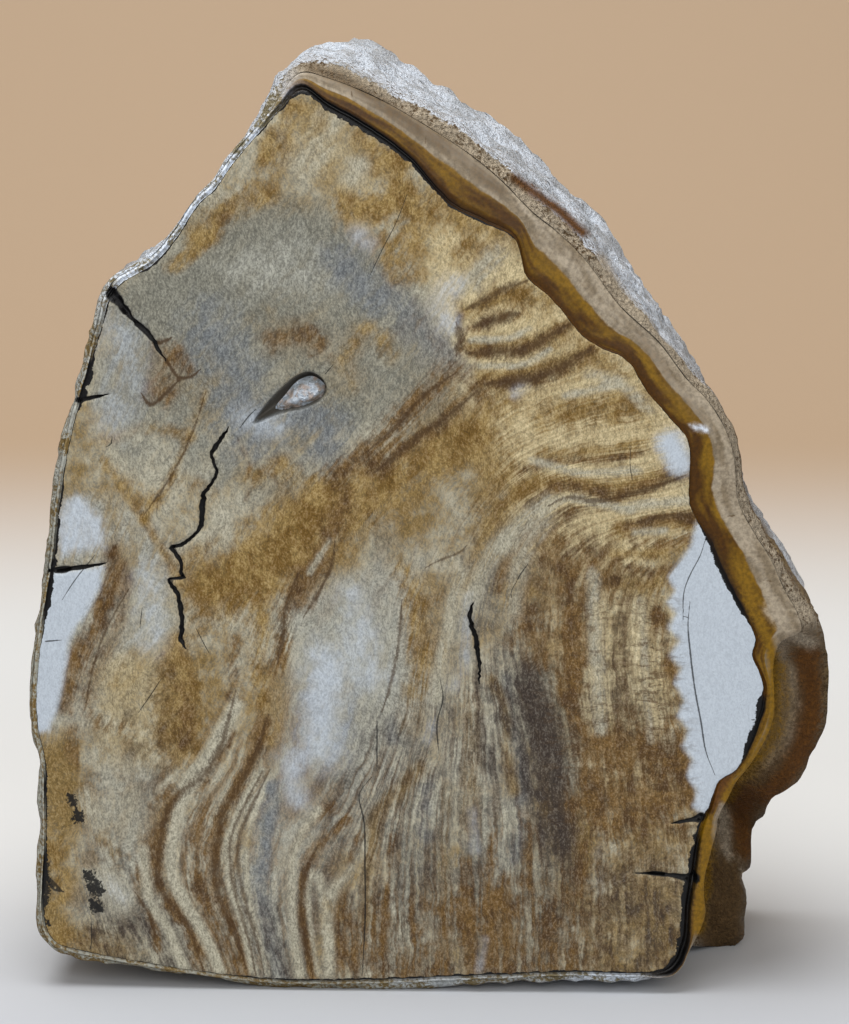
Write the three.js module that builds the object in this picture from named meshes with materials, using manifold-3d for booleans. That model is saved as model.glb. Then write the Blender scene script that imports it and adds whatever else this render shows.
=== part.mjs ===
// A slice of opalized wood: one silicified lump, ground and polished on its front, rough all round.
// Millimetres. +Z is up, the polished face looks along -Y, and the origin is under the middle of the slice.
import * as THREE from "three";
import { mergeVertices } from "three/addons/utils/BufferGeometryUtils.js";
import Module from "manifold-3d";

// Driving dimensions.
const THICKNESS = 55;
const FACE_Y = -THICKNESS / 2;
const COLUMN_SPACING = 2.7;
const SMALLEST_STEP = 0.18;
const OUTER_ROWS = 12;
const BACK_EDGE_CHAMFER = 1.2;
const MIDDLE_X = 0.75;
const FLOOR_SIZE = 400;

// How finely curves are followed, and how near two points must be to be one.
const CURVE_STEPS = 8;
const WELD_DISTANCE = 1e-4;

// Every outline is seen from the front as [x, z], and a ray from this hub meets each one once.
const HUB = [-4.4, 80.7];

// The edge of the polished wood, clockwise from the peak.
const WOOD_EDGE = [
  [-21.5, 164.3], [-17, 161.5], [-8.5, 156.5], [-2.5, 152], [4.5, 144.5], [10.5, 141.5], [16, 138.5],
  [18, 132], [22.5, 128], [29, 120.5], [36, 117], [39.5, 111.5], [44, 106.5], [47, 102.5], [47.5, 91],
  [50.5, 85.5], [53, 79.5], [56, 73.5], [59.5, 67], [59, 64], [61, 58], [59.5, 50], [56.5, 42.5],
  [53.5, 40.5], [52, 36.5], [49.5, 30.5], [48.5, 24], [47.5, 18], [47, 10.5], [45.5, 6.5], [43.5, 4.6],
  [27, 4.2], [7.5, 3.2], [-11.5, 2.2], [-25.5, 2], [-34, 2.6], [-50, 4.8], [-63, 7.2], [-67.5, 8.6],
  [-69.6, 11.5], [-69.2, 30], [-69.2, 43], [-70.4, 50], [-70.4, 56.5], [-69.4, 65.5], [-67.7, 75],
  [-66.7, 81], [-64.9, 95], [-63.1, 104], [-61.4, 109.5], [-57.8, 121.5], [-55, 129.2], [-48, 133.9],
  [-43.8, 138.6], [-40.2, 144.1], [-36.6, 147.6], [-34.2, 151.1], [-25.2, 161.2],
];

// The outer edge of the ground surface, where it takes in the bark side's amber and cream bands.
const GROUND_EDGE = [
  [-26, 162.5], [-22, 167.3], [-16.5, 166.3], [-8, 162.8], [-1.5, 159.2], [7, 153.8], [13, 149], [19, 143],
  [24, 139], [28.5, 134.5], [34.5, 126.5], [41.5, 120], [46.5, 113.5], [50, 110], [53.5, 104.5], [55, 100],
  [56, 91.5], [58.5, 86.5], [62, 81], [64.5, 75.5], [67, 71], [67.6, 68], [64, 66], [62.8, 62], [63, 57],
  [63, 52.5], [62, 49], [59, 43.5], [56.5, 40.2], [55, 37], [53.3, 33.5], [53, 31], [52, 26.5], [51, 22],
  [51, 18], [51.3, 15.5], [50.5, 12.5], [48.8, 9], [47.2, 6],
];

// The front rim of the rough outside.
const RIM = [
  [-22, 169.2], [-18.5, 169.7], [-14.5, 168.7], [-11, 167], [-6, 164.2], [-2, 162.2], [4.5, 158.5], [9.5, 155],
  [15, 150.5], [19, 146], [24, 142], [27.5, 138], [31.5, 133], [35, 129], [39, 124.5], [43, 119.5],
  [47, 115], [50.5, 111.8], [53.5, 108], [56, 103], [57, 98.5], [58, 92.5], [61, 85.8], [63.5, 82.5],
  [68, 75], [70.8, 70.5], [72.6, 65.5], [73.6, 57], [73.8, 52], [73.2, 47.2], [71, 43.2], [70, 39.8],
  [67.2, 36.2], [64.6, 34], [63.6, 31], [62.8, 27.4], [61.2, 23.5], [61.4, 19.5], [61.2, 16], [59.2, 14.2],
  [59.4, 12], [60.6, 9.8], [60.2, 5.5], [59.8, 1.5], [56.5, 0.2], [52, 1.2], [47.5, 2.4], [43.5, 2],
  [27, 1.6], [7.5, 0.8], [0, 0.2], [-11.5, -0.4], [-25.5, -0.4], [-34, 0.5], [-41, 2], [-50, 2.8],
  [-58, 4.4], [-65, 5.4], [-69.4, 7.6], [-71.4, 11], [-70.8, 30], [-70.8, 43], [-72, 50], [-72, 56.5],
  [-71, 65.5], [-69.3, 75], [-68.3, 81], [-66.5, 95], [-64.7, 104], [-63, 109.5], [-59.4, 121.5],
  [-56.8, 129.6], [-49, 134.8], [-44.9, 139.6], [-41.2, 145], [-37.7, 148.6], [-35.3, 152.2], [-29.8, 158.8],
  [-25.8, 165.8],
];

// The edge of the back.
const BACK_EDGE = [
  [-25, 167.6], [-17, 171.8], [-12.5, 171.6], [-3, 165.6], [6.4, 159], [19.2, 149], [32.6, 135.6],
  [38.8, 127.2], [46.8, 113.6], [51, 106.6], [55.2, 97], [58.8, 87], [65, 78], [70, 67], [71, 57],
  [69.5, 46], [65, 36.5], [61, 27], [60, 16], [59, 6], [57, -0.5], [45, -0.7], [20, -0.7], [-10, -0.7],
  [-35, -0.5], [-50, 2], [-62, 5], [-68, 9.5], [-69.5, 22], [-69.5, 35], [-70.5, 50], [-70, 65], [-68, 80],
  [-65.5, 95], [-62, 109], [-57.8, 121.5], [-55, 129.6], [-47, 136], [-39.6, 145.5], [-34, 152.5],
  [-29.4, 160.4],
];

// The crevice between wood and bark side, as [direction in degrees, width, depth].
const CREVICE = [
  [-180, 0.4, 0.3], [-134, 0.5, 0.4], [-110, 0.4, 0.3], [-60, 0.5, 0.4], [-57, 1.6, 1.6], [-54, 2.2, 2.2],
  [-47, 1.8, 2.2], [-40, 0.8, 1.2], [-34, 0.3, 0.2], [-27, 0.5, 0.4], [-22, 0.9, 0.7], [-15, 0.4, 0.3],
  [-7, 0.6, 0.4], [10, 0.4, 0.3], [60, 0.4, 0.2], [80, 0.7, 0.5], [96, 1.2, 0.9], [103, 1.3, 1],
  [108, 0.6, 0.6], [136, 0.7, 0.6], [150, 0.4, 0.3], [180, 0.4, 0.3],
];

// How far the ground edge, the foot of the broken ledge outside it and the rim lie behind the face,
// as [direction, edge, foot, rim].
const SET_BACK = [
  [-180, 0.3, 0.7, 1.6], [-60, 0.3, 0.8, 1.8], [-58, 0.4, 6, 9], [-56, 0.5, 22, 24], [-53, 0.6, 28, 30],
  [-41, 0.6, 27, 29], [-38, 0.6, 20, 23], [-35, 0.6, 12, 15], [-31, 0.5, 8, 11], [-20, 0.5, 6.5, 9],
  [-14.5, 0.5, 5.5, 8], [-12, 0.8, 3, 6.5], [-9, 1, 1.6, 4.5], [0, 1.1, 1.6, 3.6], [60, 1, 1.5, 3.4],
  [100, 0.9, 1.4, 3.2], [106, 0.4, 0.9, 2], [180, 0.3, 0.7, 1.6],
];

// Where the amber band ends, as a share of the way from the crevice to the ground edge.
const AMBER_SHARE = 0.52;

// The rough outside bulges and sinks by this much, over lumps of this size.
const LUMP_HEIGHT = 2.4;
const LUMP_SIZE = 14;
const KNOB_HEIGHT = 2.2;
const KNOB_SIZE = 6;
const MEAN_RIDGE = 0.3;

// The roughness starts with this share at the rim and grows by the next one with each row behind it.
const RIM_ROUGH_SHARE = 0.35;
const ROUGH_SHARE_STEP = 0.25;

// Shares of the edge's set back at the inner edge of the amber and of the cream band, and how the middle
// of the broken ledge divides between its foot and the rim.
const AMBER_BACK_SHARE = 0.2;
const CREAM_BACK_SHARE = 0.45;
const LEDGE_RIM_SHARE = 0.4;

// Below 1, the outside swells soon behind the rim and then runs straight to the back.
const OUTER_SWELL = 0.6;

// Elongated pits in the rough top, as [x, y behind the face, z, half length].
const PITS = [
  [17, 6.5, 149.6, 3.2],
  [22.5, 7, 145.3, 3.4],
  [27.8, 7.5, 140.3, 1.6],
];
const PIT_HALF_WIDTH = 1.1;
const PIT_HALF_DEPTH = 1.9;
const PIT_TURN = 43;

// Open cracks in the face, as [x, z, half width] from end to end. A crack is as deep as this where it is
// at least so wide, and its wedge starts in front of the face.
const CRACK_DEPTH = 1.6;
const FULL_DEPTH_HALF_WIDTH = 0.3;
const WEDGE_IN_FRONT = 0.4;
const CRACKS = [
  [
    [-35.1, 104.7, 0.1], [-36.9, 101.8, 0.45], [-38.2, 99.8, 0.3], [-37.2, 96.7, 0.3], [-38.1, 94.4, 0.25],
    [-39.5, 92.7, 0.4], [-40.1, 86.9, 0.45], [-41.1, 85.2, 0.3], [-43.5, 83.3, 0.3], [-45.6, 82.8, 0.3],
    [-44, 80.6, 0.35], [-43.5, 77.2, 0.35], [-46.2, 77, 0.3], [-44.4, 74.2, 0.4], [-43.7, 69.5, 0.4],
    [-44.2, 65.8, 0.4], [-43.1, 64.1, 0.1],
  ],
  [[-57.6, 130.6, 0.6], [-55.6, 128.5, 1.1], [-54, 126.6, 1], [-52.3, 124.4, 0.4], [-48.8, 121, 0.45],
    [-46, 116.5, 0.1]],
  [[-64.5, 108.8, 0.5], [-61.5, 109.4, 0.5], [-56.5, 110.5, 0.1]],
  [[-71.5, 78.2, 0.5], [-65.7, 78.5, 0.6], [-61.2, 79.1, 0.4], [-57.4, 79.8, 0.1]],
  [[8.7, 72.9, 0.1], [8, 70.6, 0.45], [9.1, 66.9, 0.4], [10, 61.6, 0.35], [9.8, 58, 0.1]],
  [[44.8, 32.4, 0.1], [48.2, 33.1, 0.45], [50.4, 33.5, 0.9]],
  [[38.6, 23, 0.1], [42, 23, 0.4], [45.5, 22.6, 0.5], [49.2, 22, 0.9]],
];

// A hollow in the face, lined on one side by pale crystals. Outlines are [x, z].
const HOLLOW_DEPTH = 4.6;
const HOLLOW = [
  [-30.8, 105.2], [-28.6, 108.6], [-25, 112.4], [-22.8, 114.1], [-20.6, 114.8], [-18.8, 114.1],
  [-17.5, 112.6], [-17.4, 110.8], [-18.8, 109.2], [-21.2, 108], [-25.6, 107],
];

// Layers of the hollow and of the crystals from the front, as [set back, share of the outline's size].
const HOLLOW_LAYERS = [[-0.5, 1], [1.5, 1.02], [3.4, 0.95], [HOLLOW_DEPTH, 0.7]];
const CRUST = [
  [-26.4, 107.9], [-24.6, 110.4], [-22.6, 112.6], [-20.3, 113.3], [-18.7, 112.4], [-18, 110.9],
  [-19.2, 109.5], [-21.6, 108.5],
];
const CRUST_TOP = 1.3;
const CRUST_FLOOR = 4.2;
const CRUST_LAYERS = [
  [CRUST_TOP, 0.3], [CRUST_TOP + 0.2, 0.65], [CRUST_TOP + 1, 0.96], [CRUST_FLOOR - 0.8, 0.96],
  [CRUST_FLOOR, 0.75],
];

// The top of the crust, down to this depth, sinks by up to one lump, at this many lumps a millimetre.
const CRUST_LUMP = 1.1;
const CRUST_TOP_DEPTH = 0.5;
const CRUST_LUMPS = 0.9;
const CRUST_NOISE_PLACE = 3.5;

// A repeatable number from 0 to 1 for a point of a lattice.
function latticeValue(i, j, k) {
  const wave = Math.sin(i * 127.1 + j * 311.7 + k * 74.7) * 43758.5453;
  return wave - Math.floor(wave);
}

function smoothStep(t) {
  return t * t * (3 - 2 * t);
}

// Smooth noise from -1 to 1, with one lump about every unit of length.
function noise(x, y, z) {
  const cell = [x, y, z].map(Math.floor);
  const [u, v, w] = [x - cell[0], y - cell[1], z - cell[2]].map(smoothStep);
  let sum = 0;
  for (const i of [0, 1]) {
    for (const j of [0, 1]) {
      for (const k of [0, 1]) {
        const share = (i ? u : 1 - u) * (j ? v : 1 - v) * (k ? w : 1 - w);
        sum += share * latticeValue(cell[0] + i, cell[1] + j, cell[2] + k);
      }
    }
  }
  return 2 * sum - 1;
}

// How far the rough outside stands out at a point.
function roughness(x, y, z) {
  const lumps = noise(x / LUMP_SIZE, y / LUMP_SIZE, z / LUMP_SIZE) * LUMP_HEIGHT / 2;
  const ridges = MEAN_RIDGE - Math.abs(noise(x / KNOB_SIZE, y / KNOB_SIZE, z / KNOB_SIZE));
  return lumps + ridges * KNOB_HEIGHT;
}

// Values between the rows of a table whose first column is a direction in degrees.
function tableAt(table, degrees) {
  let upper = 1;
  while (upper < table.length - 1 && table[upper][0] < degrees) {
    upper += 1;
  }
  const [before, after] = [table[upper - 1], table[upper]];
  const t = (degrees - before[0]) / (after[0] - before[0]);
  return before.slice(1).map((value, column) => value + (after[column + 1] - value) * t);
}

function direction(x, z) {
  return THREE.MathUtils.radToDeg(Math.atan2(z - HUB[1], x - HUB[0]));
}

// A smooth curve through an outline, as radii from the hub against direction.
function polarOutline(points, closed) {
  const curve = new THREE.CatmullRomCurve3(points.map(([x, z]) => new THREE.Vector3(x, 0, z)), closed);
  const spread = curve.getPoints(points.length * CURVE_STEPS).map((point) => [
    direction(point.x, point.z),
    Math.hypot(point.x - HUB[0], point.z - HUB[1]),
  ]);
  spread.sort((a, b) => a[0] - b[0]);
  if (!closed) {
    return (degrees) => {
      const inside = degrees >= spread[0][0] && degrees <= spread.at(-1)[0];
      return inside ? tableAt(spread, degrees)[0] : 0;
    };
  }
  const [first, last] = [spread[0], spread.at(-1)];
  const wrapped = [[last[0] - 360, last[1]], ...spread, [first[0] + 360, first[1]]];
  return (degrees) => tableAt(wrapped, degrees)[0];
}

// Points along the wood's edge, each corner of the outline among them.
function columnPoints() {
  const points = [];
  const count = WOOD_EDGE.length;
  const curve = new THREE.CatmullRomCurve3(WOOD_EDGE.map(([x, z]) => new THREE.Vector3(x, 0, z)), true);
  for (let i = 0; i < count; i += 1) {
    const [x0, z0] = WOOD_EDGE[i];
    const [x1, z1] = WOOD_EDGE[(i + 1) % count];
    const parts = Math.max(1, Math.round(Math.hypot(x1 - x0, z1 - z0) / COLUMN_SPACING));
    for (let part = 0; part < parts; part += 1) {
      points.push(curve.getPoint((i + part / parts) / count));
    }
  }
  return points;
}

// One column of the skin, from the wood's edge outwards and round to the back, as [radius, set back].
function columnProfile(degrees, woodRadius, outlines) {
  const [creviceWidth, creviceDepth] = tableAt(CREVICE, degrees);
  const [edgeBack, footBack, rimBack] = tableAt(SET_BACK, degrees);
  const profile = [[woodRadius, 0]];
  const addRow = (radius, setBack) => {
    profile.push([Math.max(radius, profile.at(-1)[0] + SMALLEST_STEP), setBack]);
  };
  addRow(woodRadius + creviceWidth / 2, creviceDepth);
  addRow(woodRadius + creviceWidth, edgeBack * AMBER_BACK_SHARE);
  const inner = profile.at(-1)[0];
  const ground = Math.max(outlines.ground(degrees), inner + 2 * SMALLEST_STEP);
  addRow(inner + (ground - inner) * AMBER_SHARE, edgeBack * CREAM_BACK_SHARE);
  addRow(ground, edgeBack);
  addRow(ground + SMALLEST_STEP, (edgeBack + footBack) / 2);
  addRow(ground + 2 * SMALLEST_STEP, footBack);
  const foot = profile.at(-1)[0];
  const rim = Math.max(outlines.rim(degrees), foot + 2 * SMALLEST_STEP);
  addRow((foot + rim) / 2, footBack * (1 - LEDGE_RIM_SHARE) + rimBack * LEDGE_RIM_SHARE);
  addRow(rim, rimBack);
  const back = outlines.back(degrees);
  for (let row = 1; row <= OUTER_ROWS; row += 1) {
    const t = row / OUTER_ROWS;
    const radius = rim + (back - rim) * Math.pow(t, OUTER_SWELL);
    profile.push([radius, rimBack + (THICKNESS - BACK_EDGE_CHAMFER - rimBack) * t]);
  }
  profile.push([back - BACK_EDGE_CHAMFER, THICKNESS]);
  return profile;
}

// How much of the roughness a row takes: none on the ground face, a little on the ledge, all outside.
function roughShare(row, rows) {
  const rimRow = rows - OUTER_ROWS - 2;
  if (row < rimRow - 1 || row === rows - 1) {
    return 0;
  }
  return Math.min(1, RIM_ROUGH_SHARE + ROUGH_SHARE_STEP * (row - rimRow + 1));
}

// The whole lump before anything is cut into it.
function lumpGeometry() {
  const outlines = {
    ground: polarOutline(GROUND_EDGE, false),
    rim: polarOutline(RIM, true),
    back: polarOutline(BACK_EDGE, true),
  };
  const columns = columnPoints().map((point) => {
    const degrees = direction(point.x, point.z);
    const woodRadius = Math.hypot(point.x - HUB[0], point.z - HUB[1]);
    return { degrees, profile: columnProfile(degrees, woodRadius, outlines) };
  });
  const rows = columns[0].profile.length;
  const positions = [];
  for (const { degrees, profile } of columns) {
    const angle = THREE.MathUtils.degToRad(degrees);
    profile.forEach(([radius, setBack], row) => {
      const flat = [HUB[0] + radius * Math.cos(angle), FACE_Y + setBack, HUB[1] + radius * Math.sin(angle)];
      const reach = radius + roughShare(row, rows) * roughness(...flat);
      positions.push(HUB[0] + reach * Math.cos(angle), flat[1], HUB[1] + reach * Math.sin(angle));
    });
  }
  const frontHub = positions.length / 3;
  positions.push(HUB[0], FACE_Y, HUB[1], HUB[0], FACE_Y + THICKNESS, HUB[1]);
  const index = [];
  for (let column = 0; column < columns.length; column += 1) {
    const here = column * rows;
    const next = ((column + 1) % columns.length) * rows;
    index.push(frontHub, next, here);
    index.push(frontHub + 1, here + rows - 1, next + rows - 1);
    for (let row = 0; row < rows - 1; row += 1) {
      index.push(here + row, next + row, here + row + 1);
      index.push(next + row, next + row + 1, here + row + 1);
    }
  }
  return closedGeometry(positions, index);
}

function closedGeometry(positions, index) {
  const geometry = new THREE.BufferGeometry();
  geometry.setAttribute("position", new THREE.Float32BufferAttribute(positions, 3));
  geometry.setIndex(index);
  return geometry;
}

// A wedge that follows a crack, from just outside the face to the crack's bottom.
function crackGeometry(points) {
  const positions = [];
  const index = [];
  points.forEach(([x, z, half], i) => {
    const before = points[Math.max(0, i - 1)];
    const after = points[Math.min(points.length - 1, i + 1)];
    const length = Math.hypot(after[0] - before[0], after[1] - before[1]);
    const across = [-(after[1] - before[1]) / length, (after[0] - before[0]) / length];
    const depth = CRACK_DEPTH * Math.min(1, half / FULL_DEPTH_HALF_WIDTH);
    const spread = half * (1 + WEDGE_IN_FRONT / depth);
    positions.push(x - across[0] * spread, FACE_Y - WEDGE_IN_FRONT, z - across[1] * spread);
    positions.push(x + across[0] * spread, FACE_Y - WEDGE_IN_FRONT, z + across[1] * spread);
    positions.push(x, FACE_Y + depth, z);
    if (i > 0) {
      const [a, b] = [3 * (i - 1), 3 * i];
      for (const [near, far] of [[0, 1], [1, 2], [2, 0]]) {
        index.push(a + near, b + near, a + far);
        index.push(a + far, b + near, b + far);
      }
    }
  });
  const end = 3 * (points.length - 1);
  index.push(0, 1, 2, end, end + 2, end + 1);
  return closedGeometry(positions, index);
}

// A closed body between copies of an outline, each as [set back, share of the outline's size].
function stackedGeometry(outline, layers) {
  const count = outline.length;
  const middle = [0, 1].map((axis) => outline.reduce((sum, point) => sum + point[axis], 0) / count);
  const positions = [];
  const index = [];
  for (const [setBack, share] of layers) {
    for (const [x, z] of outline) {
      positions.push(middle[0] + (x - middle[0]) * share, FACE_Y + setBack, middle[1] + (z - middle[1]) * share);
    }
  }
  const firstCap = positions.length / 3;
  positions.push(middle[0], FACE_Y + layers[0][0], middle[1]);
  positions.push(middle[0], FACE_Y + layers.at(-1)[0], middle[1]);
  const last = (layers.length - 1) * count;
  for (let i = 0; i < count; i += 1) {
    const next = (i + 1) % count;
    index.push(firstCap, next, i, firstCap + 1, last + i, last + next);
    for (let layer = 0; layer < layers.length - 1; layer += 1) {
      const base = layer * count;
      index.push(base + i, base + next, base + count + i);
      index.push(base + next, base + count + next, base + count + i);
    }
  }
  return closedGeometry(positions, index);
}

// A pit is an ellipsoid laid along the rim.
function pitGeometry([x, setBack, z, halfLength]) {
  const geometry = new THREE.IcosahedronGeometry(1, 2);
  geometry.scale(halfLength, PIT_HALF_WIDTH, PIT_HALF_DEPTH);
  geometry.rotateY(THREE.MathUtils.degToRad(PIT_TURN));
  geometry.translate(x, FACE_Y + setBack, z);
  return geometry;
}

const wasm = await Module();
wasm.setup();

function toSolid(geometry) {
  const bare = geometry.clone();
  bare.deleteAttribute("normal");
  bare.deleteAttribute("uv");
  const merged = mergeVertices(bare, WELD_DISTANCE);
  return new wasm.Manifold(new wasm.Mesh({
    numProp: 3,
    vertProperties: merged.attributes.position.array,
    triVerts: new Uint32Array(merged.index.array),
  }));
}

function toGeometry(solid) {
  const mesh = solid.getMesh();
  const geometry = closedGeometry(Array.from(mesh.vertProperties), Array.from(mesh.triVerts));
  geometry.computeVertexNormals();
  return geometry;
}

// The floor takes everything below z = 0 away, which leaves the flats that the slice stands on.
function floorGeometry() {
  const geometry = new THREE.BoxGeometry(FLOOR_SIZE, FLOOR_SIZE, FLOOR_SIZE);
  geometry.translate(0, 0, -FLOOR_SIZE / 2);
  return geometry;
}

function stoneGeometry() {
  const hollow = stackedGeometry(HOLLOW, HOLLOW_LAYERS);
  const cutters = [...CRACKS.map(crackGeometry), ...PITS.map(pitGeometry), hollow, floorGeometry()];
  let solid = toSolid(lumpGeometry());
  for (const cutter of cutters) {
    solid = solid.subtract(toSolid(cutter));
  }
  return toGeometry(solid);
}

// The crystals that line the hollow, as one lumpy crust.
function crustGeometry() {
  const geometry = stackedGeometry(CRUST, CRUST_LAYERS);
  const position = geometry.attributes.position;
  for (let i = 0; i < position.count; i += 1) {
    const [x, y, z] = [position.getX(i), position.getY(i), position.getZ(i)];
    if (y < FACE_Y + CRUST_TOP + CRUST_TOP_DEPTH) {
      const lump = noise(x * CRUST_LUMPS, CRUST_NOISE_PLACE, z * CRUST_LUMPS);
      position.setY(i, y + CRUST_LUMP * (1 + lump) / 2);
    }
  }
  geometry.computeVertexNormals();
  return geometry;
}

function stone() {
  const material = new THREE.MeshStandardMaterial({ color: 0xb7a184, roughness: 0.45, metalness: 0 });
  const mesh = new THREE.Mesh(stoneGeometry(), material);
  mesh.name = "opalized_wood_slice";
  return mesh;
}

function crust() {
  const material = new THREE.MeshStandardMaterial({ color: 0xe4ded6, roughness: 0.25, metalness: 0 });
  const mesh = new THREE.Mesh(crustGeometry(), material);
  mesh.name = "hollow_crystal_crust";
  return mesh;
}

const slice = new THREE.Group();
slice.add(stone(), crust());
slice.position.x = -MIDDLE_X;

export default slice;
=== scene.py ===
"""A slice of opalized wood in Blender: its polished ring pattern, amber and cream bark side, chalky outside.

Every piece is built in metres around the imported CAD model. The tables are in millimetres, or in pixels of the
photograph's 849 x 1024 frame where they say so, and on_face() puts such a pixel on the polished face.
"""

import math

import bpy
import numpy as np
from bpy.props import FloatProperty, FloatVectorProperty, PointerProperty
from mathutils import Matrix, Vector
from mathutils.geometry import delaunay_2d_cdt
from mathutils.kdtree import KDTree


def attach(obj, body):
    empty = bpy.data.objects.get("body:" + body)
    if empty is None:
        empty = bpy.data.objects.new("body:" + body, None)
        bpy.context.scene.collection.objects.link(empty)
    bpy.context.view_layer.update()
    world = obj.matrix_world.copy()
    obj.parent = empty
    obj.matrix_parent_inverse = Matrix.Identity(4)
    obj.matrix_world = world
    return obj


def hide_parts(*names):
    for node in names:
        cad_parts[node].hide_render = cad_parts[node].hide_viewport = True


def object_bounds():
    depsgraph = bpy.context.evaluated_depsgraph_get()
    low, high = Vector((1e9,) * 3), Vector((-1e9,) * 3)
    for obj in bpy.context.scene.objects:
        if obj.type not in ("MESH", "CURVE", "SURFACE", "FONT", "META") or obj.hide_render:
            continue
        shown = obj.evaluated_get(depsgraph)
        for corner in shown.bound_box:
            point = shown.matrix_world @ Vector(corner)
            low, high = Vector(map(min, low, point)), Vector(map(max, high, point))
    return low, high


bl_info = {
    "name": "Opalized Wood Slice",
    "version": (1, 0, 0),
    "blender": (4, 5, 0),
    "location": "3D View > Sidebar > Wood Slice",
    "description": "Builds a polished slice of opalized wood, the crystals in its hollow and a plain stage",
    "category": "Object",
}

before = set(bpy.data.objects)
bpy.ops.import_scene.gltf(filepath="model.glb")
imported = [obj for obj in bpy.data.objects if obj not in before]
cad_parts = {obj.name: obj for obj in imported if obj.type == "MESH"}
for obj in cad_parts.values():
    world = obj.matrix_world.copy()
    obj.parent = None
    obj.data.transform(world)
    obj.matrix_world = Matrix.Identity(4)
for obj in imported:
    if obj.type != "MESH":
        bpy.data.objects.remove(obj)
CAD_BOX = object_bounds()
MM = 0.001

# The camera, as the photograph was taken. Its frame is in pixels, and its place in degrees and millimetres.
PHOTO_WIDTH = 849
PHOTO_HEIGHT = 1024
FOCAL_PIXELS = 3353
CAMERA_AZIMUTH = 2
CAMERA_ELEVATION = 10
CAMERA_DISTANCE = 600
SENSOR = 36
PIXEL = CAMERA_DISTANCE / FOCAL_PIXELS
THICKNESS = 55
FACE_Y = -THICKNESS / 2
AIM = np.array([-0.75, FACE_Y, 89.5])

# Shape of the slice, as its CAD source has it. Outlines are [x, z] from the front, in millimetres.
MIDDLE_X = 0.75
SMALLEST_STEP = 0.18
BACK_EDGE_CHAMFER = 1.2
HUB = np.array([-4.4 - MIDDLE_X, 80.7])
AMBER_SHARE = 0.52
LUMP_HEIGHT = 2.4
LUMP_SIZE = 14
KNOB_HEIGHT = 2.2
KNOB_SIZE = 6
MEAN_RIDGE = 0.3
CRACK_DEPTH = 1.6
BACK_SPACING = 3
ROUND_LENGTH = 520

# Finer shape than the CAD source has: chips in the wood's edge, flakes and grit over the lumps, the uneven
# ledge and the ragged cracks, which are full depth from that half width on.
CHIP_HEIGHT = 0.16
FINE_CHIP_HEIGHT = 0.1
FLAKE_SIZE = 2.7
FLAKE_HEIGHT = 0.9
MEAN_FLAKE = 0.22
GRIT_SIZE = 1.3
GRIT_HEIGHT = 0.3
LEDGE_ROUGHNESS = 0.35
LEDGE_UNEVENNESS = 0.55
CRACK_SWAY = 0.36
CRACK_UNEVENNESS = 0.45
DEEP_CRACK_HALF = 0.3

# Rows of the skin: the ground edge, the rim and the back, how many the rough outside has, and the steps
# between the CAD source's nine rows from the crevice over the ground bands and the ledge to the rim.
GROUND_ROW = 4
RIM_ROW = 8
BACK_ROW = 10
OUTER_ROWS = 40
ROW_STEPS = (2, 2, 4, 5, 1, 6, 3, 3)

# Places of the slice's materials.
WOOD, BARK, BACK = range(3)

WOOD_EDGE = [
    [-21.5, 164.3], [-17, 161.5], [-8.5, 156.5], [-2.5, 152], [4.5, 144.5], [10.5, 141.5], [16, 138.5],
    [18, 132], [22.5, 128], [29, 120.5], [36, 117], [39.5, 111.5], [44, 106.5], [47, 102.5], [47.5, 91],
    [50.5, 85.5], [53, 79.5], [56, 73.5], [59.5, 67], [59, 64], [61, 58], [59.5, 50], [56.5, 42.5],
    [53.5, 40.5], [52, 36.5], [49.5, 30.5], [48.5, 24], [47.5, 18], [47, 10.5], [45.5, 6.5], [43.5, 4.6],
    [27, 4.2], [7.5, 3.2], [-11.5, 2.2], [-25.5, 2], [-34, 2.6], [-50, 4.8], [-63, 7.2], [-67.5, 8.6],
    [-69.6, 11.5], [-69.2, 30], [-69.2, 43], [-70.4, 50], [-70.4, 56.5], [-69.4, 65.5], [-67.7, 75],
    [-66.7, 81], [-64.9, 95], [-63.1, 104], [-61.4, 109.5], [-57.8, 121.5], [-55, 129.2], [-48, 133.9],
    [-43.8, 138.6], [-40.2, 144.1], [-36.6, 147.6], [-34.2, 151.1], [-25.2, 161.2],
]
GROUND_EDGE = [
    [-26, 162.5], [-22, 167.3], [-16.5, 166.3], [-8, 162.8], [-1.5, 159.2], [7, 153.8], [13, 149], [19, 143],
    [24, 139], [28.5, 134.5], [34.5, 126.5], [41.5, 120], [46.5, 113.5], [50, 110], [53.5, 104.5], [55, 100],
    [56, 91.5], [58.5, 86.5], [62, 81], [64.5, 75.5], [67, 71], [67.6, 68], [64, 66], [62.8, 62], [63, 57],
    [63, 52.5], [62, 49], [59, 43.5], [56.5, 40.2], [55, 37], [53.3, 33.5], [53, 31], [52, 26.5], [51, 22],
    [51, 18], [51.3, 15.5], [50.5, 12.5], [48.8, 9], [47.2, 6],
]
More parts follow.
